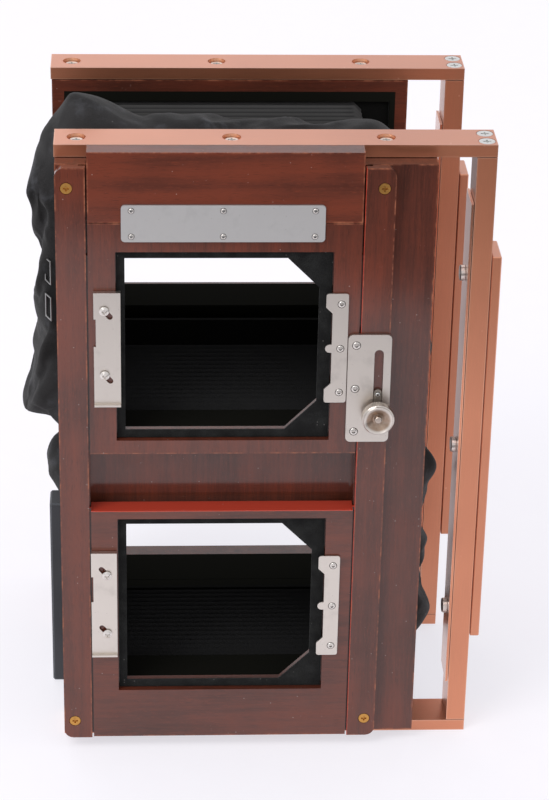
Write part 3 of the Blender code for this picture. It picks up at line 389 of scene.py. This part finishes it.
# %% Wooden pieces
frame_low, frame_high = (Vector(corner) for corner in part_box("front_frame"))
rear_low, rear_high = (Vector(corner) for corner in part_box("rear_frame"))
back_low, back_high = (Vector(corner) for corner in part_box("film_back"))
panel_low, panel_high = (Vector(corner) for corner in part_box("lens_panel_lower"))
BARE_STRIP = 9.5 * MM
RIM = 6 * MM
PANEL_CHANNEL = 5.1 * MM         # depth of the channel behind the panels, and a little more


def frame_windows():
    boxes = []
    for word in ("lower", "upper"):
        low, high = (Vector(corner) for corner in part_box(f"velvet_{word}"))
        boxes.append(((panel_low.x + RIM, frame_low.y + PANEL_CHANNEL, low.z - 1 * MM),
                      (panel_high.x - RIM, frame_high.y + 1 * MM, high.z + 1 * MM)))
    return boxes


def opening_box(low, high, back_y):
    return ((low.x + RIM, low.y - RIM, low.z + RIM), (high.x - RIM, back_y, high.z - RIM))


BLACKENED = {
    "front_frame": frame_windows(),
    "rear_frame": [opening_box(rear_low, rear_high, rear_high.y + RIM)],
    "film_back": [opening_box(back_low, back_high, back_high.y - BARE_STRIP)],
}
WOODEN = {"front_frame": (2, 0.15), "rear_frame": (0, 0.30), "film_back": (2, 0.25),
          "cleat_left": (2, 0.55), "lens_panel_upper": (2, 0.30)}
for name, (way, red) in WOODEN.items():
    paint(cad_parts[name], mahogany(name, way, red, None, BLACKENED.get(name, ())))
paint(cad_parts["panel_top_rail"], mahogany("panel_top_rail", 0, 0.95))
paint(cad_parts["lens_panel_lower"],
      mahogany("lens_panel_lower", 0, 0.30, top_stain("lens_panel_lower", 0.5 * MM)))
paint(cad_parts["cleat_right"],
      mahogany("cleat_right", 2, 0.20, side_stain("cleat_right", 0.3 * MM)))
print("mahogany on", len(WOODEN) + 3, "pieces; film back painted to",
      round((back_high.y - BARE_STRIP) / MM, 1), "mm")

# %% [markdown]
# ## Nickel, steel, brass and the blank name plate
# The latches, catches and lock plate are nickel plated and brushed fine along their length, with
# darker rub marks.  The screws are brighter.  Brass is the same idea with a yellow base.  One
# function makes them all, because they differ only in colour, roughness and how dirty they are.

# %% Metals
def plated(name, colour, rough, dirt=0.3, metallic=1.0):
    made = Finish(name)
    lines = made.noise(made.stretch(1.0, 1.0, 0.05), 3000.0, 2.0, 0.6)
    cloud = made.noise(made.place, 90.0, 3.0, 0.6)
    spots = made.specks(700.0, 0.22, 0.05)
    grime = made.step(cloud, 0.52, 0.80) * dirt + spots * 0.35
    dark = tuple(channel * 0.45 for channel in colour)
    made.set(Base_Color=made.mix(grime, colour, dark), Metallic=metallic,
             Roughness=rough + 0.14 * cloud + 0.06 * lines)
    made.bump(lines * 0.5 + cloud * 0.5, 0.015 * MM, 0.5)
    return made


NICKEL = (0.70, 0.645, 0.59)
nickel = plated("nickel_plate", NICKEL, 0.30)
screw_nickel = plated("nickel_screw", (0.74, 0.70, 0.66), 0.20, 0.35)
steel = plated("bright_steel", (0.78, 0.78, 0.76), 0.22, 0.25)
brass = plated("aged_brass", (0.60, 0.31, 0.085), 0.30, 0.9)
name_metal = plated("satin_name_plate", (0.56, 0.55, 0.54), 0.42, 0.15, 0.85)

for name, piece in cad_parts.items():
    if name.startswith(("latch", "catch")):
        paint(piece, screw_nickel if "screw" in name else nickel)
    if name.startswith(("front_corner", "rear_corner", "front_frame_screw", "rear_frame_screw")):
        paint(piece, steel)
    if name.startswith("cleat") and "screw" in name:
        paint(piece, brass)
    if name.startswith("base_bolt"):
        paint(piece, screw_nickel)
paint(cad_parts["shift_lock_plate"], nickel)
paint(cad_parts["clamp_washer"], steel)
paint(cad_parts["lock_guide_block"], plated("worn_guide_block", (0.46, 0.42, 0.37), 0.34, 0.7))
paint(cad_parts["name_plate"], name_metal)

# %% [markdown]
# ## Velvet, paint and dust
# The lens seats are lined with black velvet, whose pile catches light at a slant, so its shader has
# sheen.  Lint sits in it.  The bellows board and the side block are matt black paint, and the side
# block is greyer at its rubbed edges.

# %% Velvet and matt paint
def velvet():
    made = Finish("black_velvet")
    pile = made.noise(made.place, 2200.0, 3.0, 0.7)
    brushed = made.noise(made.place, 160.0, 3.0, 0.6)
    lint = made.specks(600.0, 0.22, 0.06)
    cloth = made.mix(made.step(pile * 0.6 + brushed * 0.4, 0.40, 0.68), (0.0045, 0.0045, 0.0045),
                     (0.020, 0.021, 0.020))
    made.set(Base_Color=made.mix(lint * 0.5, cloth, (0.22, 0.21, 0.20)), Roughness=0.95,
             Sheen_Weight=0.15, Sheen_Roughness=0.5, Specular_IOR_Level=0.15)
    made.bump(pile, 0.25 * MM, 0.8)
    return made


def matt_paint(node):
    made = Finish(f"matt_black_{node}")
    grit = made.noise(made.place, 900.0, 3.0, 0.6)
    cloud = made.noise(made.place, 40.0, 2.0)
    low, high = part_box(node)
    rubbed = 1 - made.step(made.edge_distance(low, high), 0.3 * MM, 1.3 * MM)
    dust = made.specks(300.0, 0.16, 0.05)
    base = made.mix(cloud, (0.030, 0.031, 0.036), (0.060, 0.061, 0.068))
    worn = made.mix(rubbed * made.step(grit, 0.3, 0.7) * 0.6, base, (0.15, 0.165, 0.19))
    made.set(Base_Color=made.mix(dust * 0.5, worn, (0.30, 0.30, 0.30)), Roughness=0.5 + 0.2 * grit)
    made.bump(grit, 0.06 * MM, 0.6)
    return made


seat_velvet = velvet()
paint(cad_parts["velvet_upper"], seat_velvet)
paint(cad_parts["velvet_lower"], seat_velvet)
paint(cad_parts["side_block"], matt_paint("side_block"))


def dull_black():
    made = Finish("dull_black")
    grit = made.noise(made.place, 900.0, 3.0, 0.6)
    made.set(Base_Color=made.mix(grit, (0.004, 0.004, 0.004), (0.009, 0.009, 0.008)),
             Roughness=0.85 + 0.1 * grit, Specular_IOR_Level=0.03)
    made.bump(grit, 0.05 * MM, 0.5)
    return made


inner_black = dull_black()
paint(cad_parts["bellows_board"], inner_black)

# %% [markdown]
# ## Small helpers for new pieces
# A turned piece starts as a few points joined by edges, and a spin makes it round.  A sleeve starts
# as a flat grid that is rolled up, so that one function of two numbers gives its shape: how far
# round, and how far along.

# %% Turned pieces and sleeves
def finish_piece(name, mesh_data, finish, body, smooth=40):
    mesh = bpy.data.meshes.new(name)
    mesh_data.to_mesh(mesh)
    mesh_data.free()
    made = bpy.data.objects.new(name, mesh)
    bpy.context.collection.objects.link(made)
    mesh.shade_smooth()
    mesh.set_sharp_from_angle(angle=math.radians(smooth))
    paint(made, finish)
    if body:
        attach(made, body)
    return made


def turned(profile, place, steps):
    """A bmesh of (radius, height) points spun round an axis that runs to -Y from place."""
    mesh_data = bmesh.new()
    points = [mesh_data.verts.new((radius, -height, 0.0)) for radius, height in profile]
    edges = [mesh_data.edges.new(pair) for pair in zip(points, points[1:])]
    bmesh.ops.spin(mesh_data, geom=points + edges, axis=(0, 1, 0), cent=(0, 0, 0), steps=steps,
                   angle=math.tau, use_merge=True)
    bmesh.ops.remove_doubles(mesh_data, verts=mesh_data.verts, dist=0.001 * MM)
    bmesh.ops.recalc_face_normals(mesh_data, faces=mesh_data.faces)
    bmesh.ops.translate(mesh_data, verts=mesh_data.verts, vec=place)
    return mesh_data


def sleeve(around, along, shape):
    """A bmesh tube: shape(turn, share) gives each point, turn from 0 to 1 round and share along."""
    mesh_data = bmesh.new()
    bmesh.ops.create_grid(mesh_data, x_segments=around, y_segments=along, size=0.5)
    for vert in mesh_data.verts:
        vert.co = shape((vert.co.x + 0.5) % 1.0, vert.co.y + 0.5)
    bmesh.ops.remove_doubles(mesh_data, verts=mesh_data.verts, dist=0.001 * MM)
    bmesh.ops.recalc_face_normals(mesh_data, faces=mesh_data.faces)
    return mesh_data


# %% [markdown]
# ## The thumb knob
# The knob is a knurled rim round a dished face with a boss in the middle.  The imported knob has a
# plain rim, so a finer one replaces it.  Its profile is spun in many steps, and every second rim
# point then moves outwards, which cuts the straight knurl.

# %% Knurled knob
knob_low, knob_high = (Vector(corner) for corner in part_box("thumb_knob"))
knob_middle = (knob_low + knob_high) / 2
knob_back = Vector((knob_middle.x, knob_high.y, knob_middle.z))
knob_height = knob_high.y - knob_low.y
knob_radius = (knob_high.x - knob_low.x) / 2
KNURLS = 60
COLLAR = 1.7 * MM


def knob_profile():
    rim = knob_radius - 0.25 * MM
    face = knob_height
    dish = face - 2.3 * MM
    points = [(1.6, 5.0), (1.6, 0.0), (4.6, 0.0), (5.0, 0.3)]
    points = [(radius * MM, height * MM) for radius, height in points]
    points += [(5.0 * MM, COLLAR), (rim - 0.7 * MM, COLLAR), (rim, COLLAR + 0.6 * MM),
               (rim, face - 1.3 * MM), (rim - 0.3 * MM, face - 0.9 * MM), (rim - 0.35 * MM, face - 0.3 * MM),
               (rim - 0.6 * MM, face), (rim - 1.0 * MM, face), (rim - 1.3 * MM, face - 0.2 * MM),
               (3.4 * MM, dish + 0.4 * MM), (2.6 * MM, dish), (1.9 * MM, dish + 0.1 * MM),
               (1.75 * MM, dish + 1.3 * MM), (1.4 * MM, dish + 1.6 * MM), (0.0, dish + 1.7 * MM)]
    return [(0.0, 5.0 * MM)] + points


def knob_metal():
    """Nickel plate whose plating has gone brown in the dish."""
    made = Finish("knob_nickel")
    cloud = made.noise(made.place, 500.0, 3.0, 0.6)
    away = made.radius("X", "Z", (knob_middle.x, knob_middle.z))
    dish = 1 - made.step(away, knob_radius - 2.6 * MM, knob_radius - 1.5 * MM)
    boss = 1 - made.step(away, 1.5 * MM, 2.1 * MM)
    stained = dish * (1 - 0.45 * boss) * (0.55 + 0.45 * cloud)
    made.set(Base_Color=made.mix(stained, NICKEL, (0.27, 0.165, 0.10)), Metallic=1.0,
             Roughness=0.22 + 0.25 * cloud)
    made.bump(cloud, 0.02 * MM, 0.5)
    return made


knob_mesh = turned(knob_profile(), knob_back, 2 * KNURLS)
for vert in knob_mesh.verts:
    out = Vector((vert.co.x - knob_back.x, 0.0, vert.co.z - knob_back.z))
    depth = knob_back.y - vert.co.y
    on_rim = (COLLAR + 0.5 * MM < depth < knob_height - 1.2 * MM
              and out.length > knob_radius - 0.4 * MM)
    step = round(math.atan2(out.z, out.x) / math.tau * 2 * KNURLS)
    if on_rim and step % 2 == 0:
        vert.co += out.normalized() * 0.25 * MM
knob = finish_piece("knurled_knob", knob_mesh, knob_metal(), "knob", 30)
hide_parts("thumb_knob")
print("knob radius", round(knob_radius / MM, 2), "mm with", KNURLS, "knurls")

# %% [markdown]
# ## Small screws in the plates
# The catches, the name plate and the lock plate are held by small screws with rounded heads and a
# little socket.  They share one profile that is spun, and loops place them along each plate.

# %% Plate screws
def plate_screw(name, x, z, face_y, body, radius=1.9 * MM, finish=screw_nickel):
    """A screw head that stands on a plate whose face is at face_y.

    Its socket is painted black as painted shade, and the flat ring round its foot as a painted
    shadow gap round the head.
    """
    profile = [(0.0, -0.10 * MM), (radius * 0.36, -0.10 * MM), (radius * 0.40, 0.50 * MM),
               (radius * 0.60, 0.50 * MM), (radius * 0.82, 0.30 * MM), (radius * 0.88, 0.03 * MM),
               (radius, 0.03 * MM), (radius, -0.2 * MM), (0.0, -0.2 * MM)]
    made = finish_piece(name, turned(profile, Vector((x, face_y, z)), 24), finish, body, 50)
    # The socket and the flat ring round the head get the dull black: painted shade and a painted shadow gap.
    paint(made, finish, inner_black)
    for face in made.data.polygons:
        away = math.hypot(face.center.x - x, face.center.z - z)
        face.material_index = int(away < radius * 0.38 or away > radius * 0.89)
    return made


def catch_screws(catch, body):
    low, high = (Vector(corner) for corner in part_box(catch))
    x = high.x - 3.3 * MM
    for number, share in enumerate((0.095, 0.5, 0.905)):
        z = low.z + (high.z - low.z) * share
        plate_screw(f"{catch}_screw_{number + 1}", x, z, low.y, body)


catch_screws("catch_upper", "upper_lens_panel")
catch_screws("catch_lower", "front_standard")
lock_low, lock_high = (Vector(corner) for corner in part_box("shift_lock_plate"))
for number, share in enumerate((0.0975, 0.5, 0.9025)):
    plate_screw(f"shift_lock_screw_{number + 1}", lock_low.x + 3.9 * MM,
                lock_low.z + (lock_high.z - lock_low.z) * share, lock_low.y, "upper_lens_panel", 2.1 * MM)
name_low, name_high = (Vector(corner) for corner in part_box("name_plate"))
for column, x_share in enumerate((0.05, 0.5, 0.95)):
    for row, z_share in enumerate((0.15, 0.85)):
        plate_screw(f"name_plate_screw_{2 * column + row + 1}",
                    name_low.x + (name_high.x - name_low.x) * x_share,
                    name_low.z + (name_high.z - name_low.z) * z_share, name_low.y, "upper_lens_panel",
                    1.5 * MM)
guide_low, guide_high = (Vector(corner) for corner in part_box("lock_guide_block"))
plate_screw("guide_block_screw", (guide_low.x + guide_high.x) / 2, guide_high.z - 2.6 * MM,
            lock_low.y + 0.2 * MM, "front_standard", 1.25 * MM, steel)

# %% [markdown]
# ## Folded bellows
# A bellows is a cloth tube folded in and out like a concertina, tapering from the big rear frame to
# the smaller lens side.  Rolling a grid and drawing every second ring inwards gives the folds, and a
# Solidify modifier gives the cloth its thickness.

# %% Bellows cloth
def bellows_cloth():
    made = Finish("bellows_cloth")
    weave = made.noise(made.place, 1400.0, 2.0, 0.6)
    cloud = made.noise(made.place, 35.0, 2.0)
    base = made.mix(cloud, (0.0045, 0.0045, 0.0047), (0.012, 0.012, 0.0125))
    # Painted highlight: a paler colour on the pleat tips, where the folds catch the light.
    tip_highlight = made.node("ShaderNodeAttribute", {"attribute_name": "tip_highlight"}, output="Fac")
    base = made.mix(made.step(tip_highlight, 0.6, 0.95) * (0.55 + 0.4 * cloud), base, (0.060, 0.058, 0.056))
    made.set(Base_Color=base, Roughness=0.55 + 0.2 * weave, Specular_IOR_Level=0.35)
    made.bump(weave, 0.08 * MM, 0.7)
    return made


cloth_black = bellows_cloth()
PLEATS = 18
PLEAT_DEPTH = 5.0 * MM


def square_ring(turn, low_x, high_x, low_z, high_z, corner):
    """A point on a rectangle with cut-off corners, turn from 0 to 1 round it."""
    outline = [(low_x + corner, low_z), (high_x - corner, low_z), (high_x, low_z + corner),
               (high_x, high_z - corner), (high_x - corner, high_z), (low_x + corner, high_z),
               (low_x, high_z - corner), (low_x, low_z + corner)]
    lengths = [math.dist(a, b) for a, b in zip(outline, outline[1:] + outline[:1])]
    left = turn * sum(lengths)
    for start, end, length in zip(outline, outline[1:] + outline[:1], lengths):
        if left <= length:
            share = left / length
            return [start[0] + (end[0] - start[0]) * share, start[1] + (end[1] - start[1]) * share]
        left -= length
    return list(outline[0])


def bellows_shape(node):
    """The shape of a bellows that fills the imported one's box and tapers to its front."""
    low, high = (Vector(corner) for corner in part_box(node))
    middle = (panel_low.z + frame_high.z) / 2
    upper = node.endswith("upper")

    def shape(turn, share):
        y = high.y + (low.y - high.y) * share
        drawn = 0.0 if round(share * 2 * PLEATS) % 2 == 0 else PLEAT_DEPTH
        taper = 5.0 * MM * share
        low_z = low.z + (0.0 if upper else taper)
        high_z = high.z - (taper if upper else 0.0)
        x, z = square_ring(turn, low.x + drawn + taper, high.x - drawn, low_z + drawn, high_z - drawn,
                           4 * MM)
        return Vector((x, y, z))
    return shape


for name in ("bellows_upper", "bellows_lower"):
    tube = finish_piece(f"folded_{name}", sleeve(96, 2 * PLEATS, bellows_shape(name)),
                         cloth_black, None, 20)
    # Marks the pleat tips, which the cloth's finish paints paler as a painted highlight.
    tip_highlight = tube.data.attributes.new("tip_highlight", "FLOAT", "POINT")
    deep_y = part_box(name)[1][1]
    pleat = (deep_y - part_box(name)[0][1]) / (2 * PLEATS)
    for vert, mark in zip(tube.data.vertices, tip_highlight.data):
        mark.value = 1.0 if round((deep_y - vert.co.y) / pleat) % 2 == 0 else 0.0
    wall = tube.modifiers.new("cloth_thickness", "SOLIDIFY")
    wall.thickness = 0.8 * MM
    wall.offset = -1.0
    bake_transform(tube)
    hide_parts(name)

# %% [markdown]
# ## Suede bags
# Each bellows hides in a soft black bag that sags and folds.  A bag is a lofted sleeve: wide in the
# middle, gathered at both ends.  Its lumps come from a written outline and a soft noise, and a
# short cloth simulation with its hems held adds small wrinkles, each point within a few millimetres
# of the written shape.

# %% Suede
def suede():
    made = Finish("black_suede")
    nap = made.noise(made.place, 1600.0, 3.0, 0.7)
    cloud = made.noise(made.place, 28.0, 3.0, 0.6)
    chalk = made.step(made.noise(made.place, 75.0, 4.0, 0.65), 0.52, 0.78)
    lint = made.specks(330.0, 0.16, 0.03)
    base = made.mix(made.step(cloud * 0.7 + nap * 0.3, 0.36, 0.66), (0.011, 0.0106, 0.0106),
                    (0.032, 0.0310, 0.0315))
    dusty = made.mix(chalk * 0.55, base, (0.085, 0.087, 0.098))
    made.set(Base_Color=made.mix(lint * 0.5, dusty, (0.30, 0.29, 0.28)), Roughness=0.85,
             Sheen_Weight=0.10, Sheen_Roughness=0.5, Specular_IOR_Level=0.1)
    made.bump(nap * 0.6 + cloud * 0.4, 0.30 * MM, 0.9)
    return made


bag_suede = suede()

# %% [markdown]
# A bag's outline, seen from the front, is a few points joined by a smooth curve, kept as a distance
# from the middle in each direction.  At both ends the bag is gathered onto its bellows, and between
# them it swells out to the outline.  The upper bag has a hump at its top left that stands above the
# standards, and it hangs out past the frame at the left.  The lower one bulges on its right.

# %% Bag shapes
UPPER_BAG = [(-104, 163), (-116, 166), (-121, 173), (-119, 187), (-115, 200), (-114, 217), (-113, 237),
             (-111, 252), (-112, 263), (-117, 276), (-119, 288), (-115, 301), (-105, 317), (-95, 332),
             (-87, 333), (-75, 326), (-64, 317), (-14, 315), (30, 316), (62, 315), (69, 312), (72, 304),
             (70, 240), (69, 172), (63, 160), (0, 158), (-60, 158)]
LOWER_BAG = [(-104, 150), (-112, 145), (-113, 134), (-109, 124), (-100, 117), (-96, 90), (-96, 30),
             (-88, 17), (0, 16), (50, 17), (73, 34), (81, 46), (78, 63), (80, 90), (84, 119),
             (88, 138), (78, 147), (60, 151), (0, 152), (-70, 152)]
LOWEST = 3 * MM                  # the bags hang just clear of the floor
TOP_SHORT = 16                   # the bag's top stops this many mm short, where the pleats show
HEM_ROOM = 3                     # mm from the bellows to the gathered hem
FLARE = 0.38                     # smaller numbers flare more sharply beside the hem
PLUMP = 3.6                      # mm added all round, against which the creases cut in
CREASE_DEEP = 8.5                # mm, for a full swing of the noise
RUCK_HIGH = 2.5
DRAPE_LIMIT = 5 * MM
DRAPE_FRAMES = 20


def outline_reach(points, middle):
    """The outline as a function: how far it is from the middle in a direction given by an angle."""
    polar = sorted((math.atan2(z - middle[1], x - middle[0]), math.dist((x, z), middle))
                   for x, z in points)
    angles = [angle for angle, _ in polar]
    polar = [(angles[-1] - math.tau, polar[-1][1])] + polar + [(angles[0] + math.tau, polar[0][1])]

    def reach(angle):
        angle = (angle + math.pi) % math.tau - math.pi
        for (start, near), (end, far) in zip(polar, polar[1:]):
            if start <= angle <= end:
                share = (angle - start) / (end - start)
                return near + (far - near) * share
        return polar[0][1]
    near_by = (-0.05, -0.025, 0.0, 0.025, 0.05)
    return lambda angle: sum(reach(angle + offset) for offset in near_by) / len(near_by)


def square_reach(angle, half_width, half_height):
    """How far a rectangle's side is from its middle in a direction given by an angle."""
    across = abs(math.cos(angle)) / half_width
    up = abs(math.sin(angle)) / half_height
    return 1 / (across ** 6 + up ** 6) ** (1 / 6)


def bag_shape(bellows_node, points, start_y, end_y):
    low, high = (Vector(corner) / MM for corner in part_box(bellows_node))
    middle = ((low.x + high.x) / 2, (low.z + high.z) / 2)
    half_width = (high.x - low.x) / 2 + HEM_ROOM
    half_height = (high.z - low.z) / 2 + HEM_ROOM
    outline = outline_reach(points, middle)

    def shape(turn, share):
        angle = turn * math.tau
        gathered = square_reach(angle, half_width, half_height)
        full = max(math.sin(math.pi * share), 0.0) ** FLARE
        reach = gathered + (max(outline(angle), gathered) - gathered) * full
        round_x = math.cos(angle)
        round_z = math.sin(angle)
        slant = share * 1.3
        crease = abs(noise.noise(Vector((round_x * 4, slant, round_z * 4 + slant))))
        ruck = abs(noise.noise(Vector((round_x * 11 + slant, share * 2.2, round_z * 11))))
        reach += (PLUMP - crease * CREASE_DEEP + ruck * RUCK_HIGH) * full
        x = middle[0] + math.cos(angle) * reach
        z = max(middle[1] + math.sin(angle) * reach, LOWEST / MM)
        depth = end_y - start_y - max(round_z, 0.0) * TOP_SHORT * MM
        return Vector((x * MM, start_y + depth * share, z * MM))
    return shape


def drape(bag, limit):
    """Runs a short cloth simulation with the hems held, and adds its movement up to a limit.

    The free cloth moves much further than the limit, so the bag keeps its written shape and takes
    only small wrinkles from the simulation."""
    start = [vert.co.copy() for vert in bag.data.vertices]
    held = bag.vertex_groups.new(name="held")
    counts = {}
    for face in bag.data.polygons:
        for edge in face.edge_keys:
            counts[edge] = counts.get(edge, 0) + 1
    hems = {index for edge, count in counts.items() if count == 1 for index in edge}
    held.add(sorted(hems), 1.0, "REPLACE")
    sim = bag.modifiers.new("cloth", "CLOTH")
    sim.settings.quality = 6
    sim.settings.mass = 0.25
    sim.settings.tension_stiffness = 12
    sim.settings.compression_stiffness = 12
    sim.settings.shear_stiffness = 6
    sim.settings.bending_stiffness = 0.4
    sim.settings.shrink_min = -0.08
    sim.settings.vertex_group_mass = "held"
    sim.settings.effector_weights.gravity = 0.3
    sim.point_cache.frame_start = 1
    sim.point_cache.frame_end = DRAPE_FRAMES
    for number in range(1, DRAPE_FRAMES + 1):
        bpy.context.scene.frame_set(number)
    settled = bag.evaluated_get(bpy.context.evaluated_depsgraph_get())
    moved = [vert.co.copy() for vert in settled.data.vertices]
    bag.modifiers.remove(sim)
    for vert, was, now in zip(bag.data.vertices, start, moved):
        shift = now - was
        if shift.length > limit:
            shift *= limit / shift.length
        vert.co = was + shift
        vert.co.z = max(vert.co.z, LOWEST)
    bpy.context.scene.frame_set(1)
    farthest = max((now - was).length for was, now in zip(start, moved))
    print(bag.name, "moved by up to", round(farthest / MM, 1), "mm, kept to", round(limit / MM, 1))


suede_bags = {}
for word, points in (("upper", UPPER_BAG), ("lower", LOWER_BAG)):
    bag_low, bag_high = (Vector(corner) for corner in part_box(f"bag_{word}"))
    shape = bag_shape(f"bellows_{word}", points, bag_low.y, bag_high.y)
    bag = finish_piece(f"suede_bag_{word}", sleeve(200, 36, shape), bag_suede, None, 80)
    drape(bag, DRAPE_LIMIT)
    wall = bag.modifiers.new("suede_thickness", "SOLIDIFY")
    wall.thickness = 1.2 * MM
    wall.offset = -1.0
    fine = bag.modifiers.new("fine", "SUBSURF")
    fine.levels = 1
    fine.render_levels = 1
    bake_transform(bag)
    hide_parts(f"bag_{word}")
    suede_bags[word] = bag

# %% [markdown]
# Two small wire loops sit on the upper bag's left side, perhaps for a strap or a hook.  Each is one
# face with its middle taken out, then thickened and rounded like bent wire.  A ray from the front
# finds where the cloth is.

# %% Wire loops
LOOP_WIDE = 7 * MM
LOOP_HIGH = 12.5 * MM
LOOP_WIRE = 0.8 * MM
LOOP_LIFT = 2.2 * MM              # clear of the bag's thickness and its smoothing
LOOP_X = -105 * MM
LOOP_TURN = math.radians(25)     # how far they face forward from straight left


def wire_loop(name, z):
    """One loop, stood on the bag's front left flank at the height z."""
    skin = suede_bags["upper"].data
    tree = BVHTree.FromPolygons([vert.co for vert in skin.vertices],
                                [face.vertices[:] for face in skin.polygons])
    spot, _, _, _ = tree.ray_cast(Vector((LOOP_X, cad_box[0][1], z)), Vector((0.0, 1.0, 0.0)))
    outward = Vector((-math.cos(LOOP_TURN), -math.sin(LOOP_TURN), 0.0))
    mesh = bmesh.new()
    bmesh.ops.create_grid(mesh, x_segments=1, y_segments=1, size=0.5)
    bmesh.ops.scale(mesh, verts=mesh.verts, vec=(LOOP_WIDE, LOOP_HIGH, 1.0))
    inner = mesh.faces[:]
    bmesh.ops.inset_region(mesh, faces=inner, thickness=LOOP_WIRE, use_even_offset=True,
                           use_boundary=True)
    bmesh.ops.delete(mesh, geom=inner, context="FACES")
    turn = outward.to_track_quat("Z", "Y").to_matrix()
    bmesh.ops.rotate(mesh, verts=mesh.verts, cent=(0, 0, 0), matrix=turn)
    bmesh.ops.translate(mesh, verts=mesh.verts, vec=spot + outward * LOOP_LIFT)
    loop = finish_piece(name, mesh, plated(name, (0.30, 0.295, 0.29), 0.25), None)
    wall = loop.modifiers.new("wire_thickness", "SOLIDIFY")
    wall.thickness = LOOP_WIRE
    wall.offset = 0.0
    rounding = loop.modifiers.new("wire_rounding", "BEVEL")
    rounding.width = LOOP_WIRE * 0.35
    rounding.segments = 2
    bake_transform(loop)
    print(name, len(loop.data.polygons), "faces at", [round(value / MM, 1) for value in spot])


wire_loop("wire_loop_high", 248 * MM)
wire_loop("wire_loop_low", 230 * MM)

# %% [markdown]
# ## Floor, light and view
# The camera stands on a plain pale floor in soft light, as in a light tent: a white surround, a
# broad lamp above the left, and a fainter one behind.  The view is
# from a little left of the middle and well above, through a long lens.

# %% Floor
def white_floor():
    """White paper that is lit from all round, so that shadows on it stay faint."""
    made = Finish("white_paper")
    fibre = made.noise(made.place, 60.0, 3.0)
    made.set(Base_Color=made.mix(fibre, (0.38, 0.36, 0.37), (0.40, 0.38, 0.39)), Roughness=0.9,
             Specular_IOR_Level=0.1, Emission_Color=(0.94, 0.94, 1.0), Emission_Strength=0.66)
    return made


floor_mesh = bmesh.new()
bmesh.ops.create_grid(floor_mesh, x_segments=1, y_segments=1, size=4.0)
floor = finish_piece("floor", floor_mesh, white_floor(), None)

# %% [markdown]
# The varnish mirrors what lies in front of the camera: white paper near by, and the dark room past
# the paper's edge.  That is why the wood looks deep red at the top and greyer lower down.  A black
# sheet on the floor stands for the dark room.  Only reflections see it.

# %% Dark room in front
EDGE_TURN = math.radians(28)
EDGE_PLACE = Vector((0.0, -0.625, 0.5 * MM))
dark_mesh = bmesh.new()
bmesh.ops.create_grid(dark_mesh, x_segments=1, y_segments=1, size=2.0)
bmesh.ops.translate(dark_mesh, verts=dark_mesh.verts, vec=(0.0, -2.0, 0.0))
bmesh.ops.rotate(dark_mesh, verts=dark_mesh.verts, cent=(0, 0, 0),
                 matrix=Matrix.Rotation(EDGE_TURN, 3, "Z"))
bmesh.ops.translate(dark_mesh, verts=dark_mesh.verts, vec=EDGE_PLACE)
dark_room = finish_piece("dark_room", dark_mesh, inner_black, None)
dark_room.visible_camera = False
dark_room.visible_diffuse = False
dark_room.visible_shadow = False

# %% Lights
world = bpy.data.worlds.new("light_tent")
world.use_nodes = True
world.node_tree.nodes["Background"].inputs["Color"].default_value = (0.97, 0.97, 1.0, 1.0)
world.node_tree.nodes["Background"].inputs["Strength"].default_value = 0.82
bpy.context.scene.world = world
bpy.context.scene.view_settings.view_transform = "Standard"


def soft_light(name, place, target, width, power):
    lamp = bpy.data.lights.new(name, "AREA")
    lamp.shape = "SQUARE"
    lamp.size = width
    lamp.energy = power
    holder = bpy.data.objects.new(name, lamp)
    bpy.context.collection.objects.link(holder)
    holder.location = place
    aim = Vector(target) - Vector(place)
    holder.rotation_euler = aim.to_track_quat("-Z", "Y").to_euler()
    holder.visible_camera = False


soft_light("key", (-0.9, -0.9, 1.6), (0.0, 0.0, 0.15), 0.9, 12.0)
soft_light("back", (-0.4, 1.8, 1.9), (0.0, 0.0, 0.15), 1.2, 4.0)

# %% Camera
VIEW_TURN = math.radians(3.08)
VIEW_DOWN = math.radians(26.67)
VIEW_ROLL = math.radians(1.20)
VIEW_PLACE = (-0.06065, -1.16348, 0.77063)
LENS = 120.77
ahead = Vector((math.sin(VIEW_TURN) * math.cos(VIEW_DOWN), math.cos(VIEW_TURN) * math.cos(VIEW_DOWN),
                -math.sin(VIEW_DOWN)))
level = Vector((math.cos(VIEW_TURN), -math.sin(VIEW_TURN), 0.0))
upward = level.cross(ahead)
across = math.cos(VIEW_ROLL) * level + math.sin(VIEW_ROLL) * upward
raised = math.cos(VIEW_ROLL) * upward - math.sin(VIEW_ROLL) * level
turn = Matrix((across, raised, -ahead)).transposed().to_4x4()
viewer = bpy.data.objects.new("viewer", bpy.data.cameras.new("viewer"))
bpy.context.collection.objects.link(viewer)
viewer.matrix_world = Matrix.Translation(VIEW_PLACE) @ turn
viewer.data.lens = LENS
viewer.data.sensor_width = 36.0
bpy.context.scene.camera = viewer
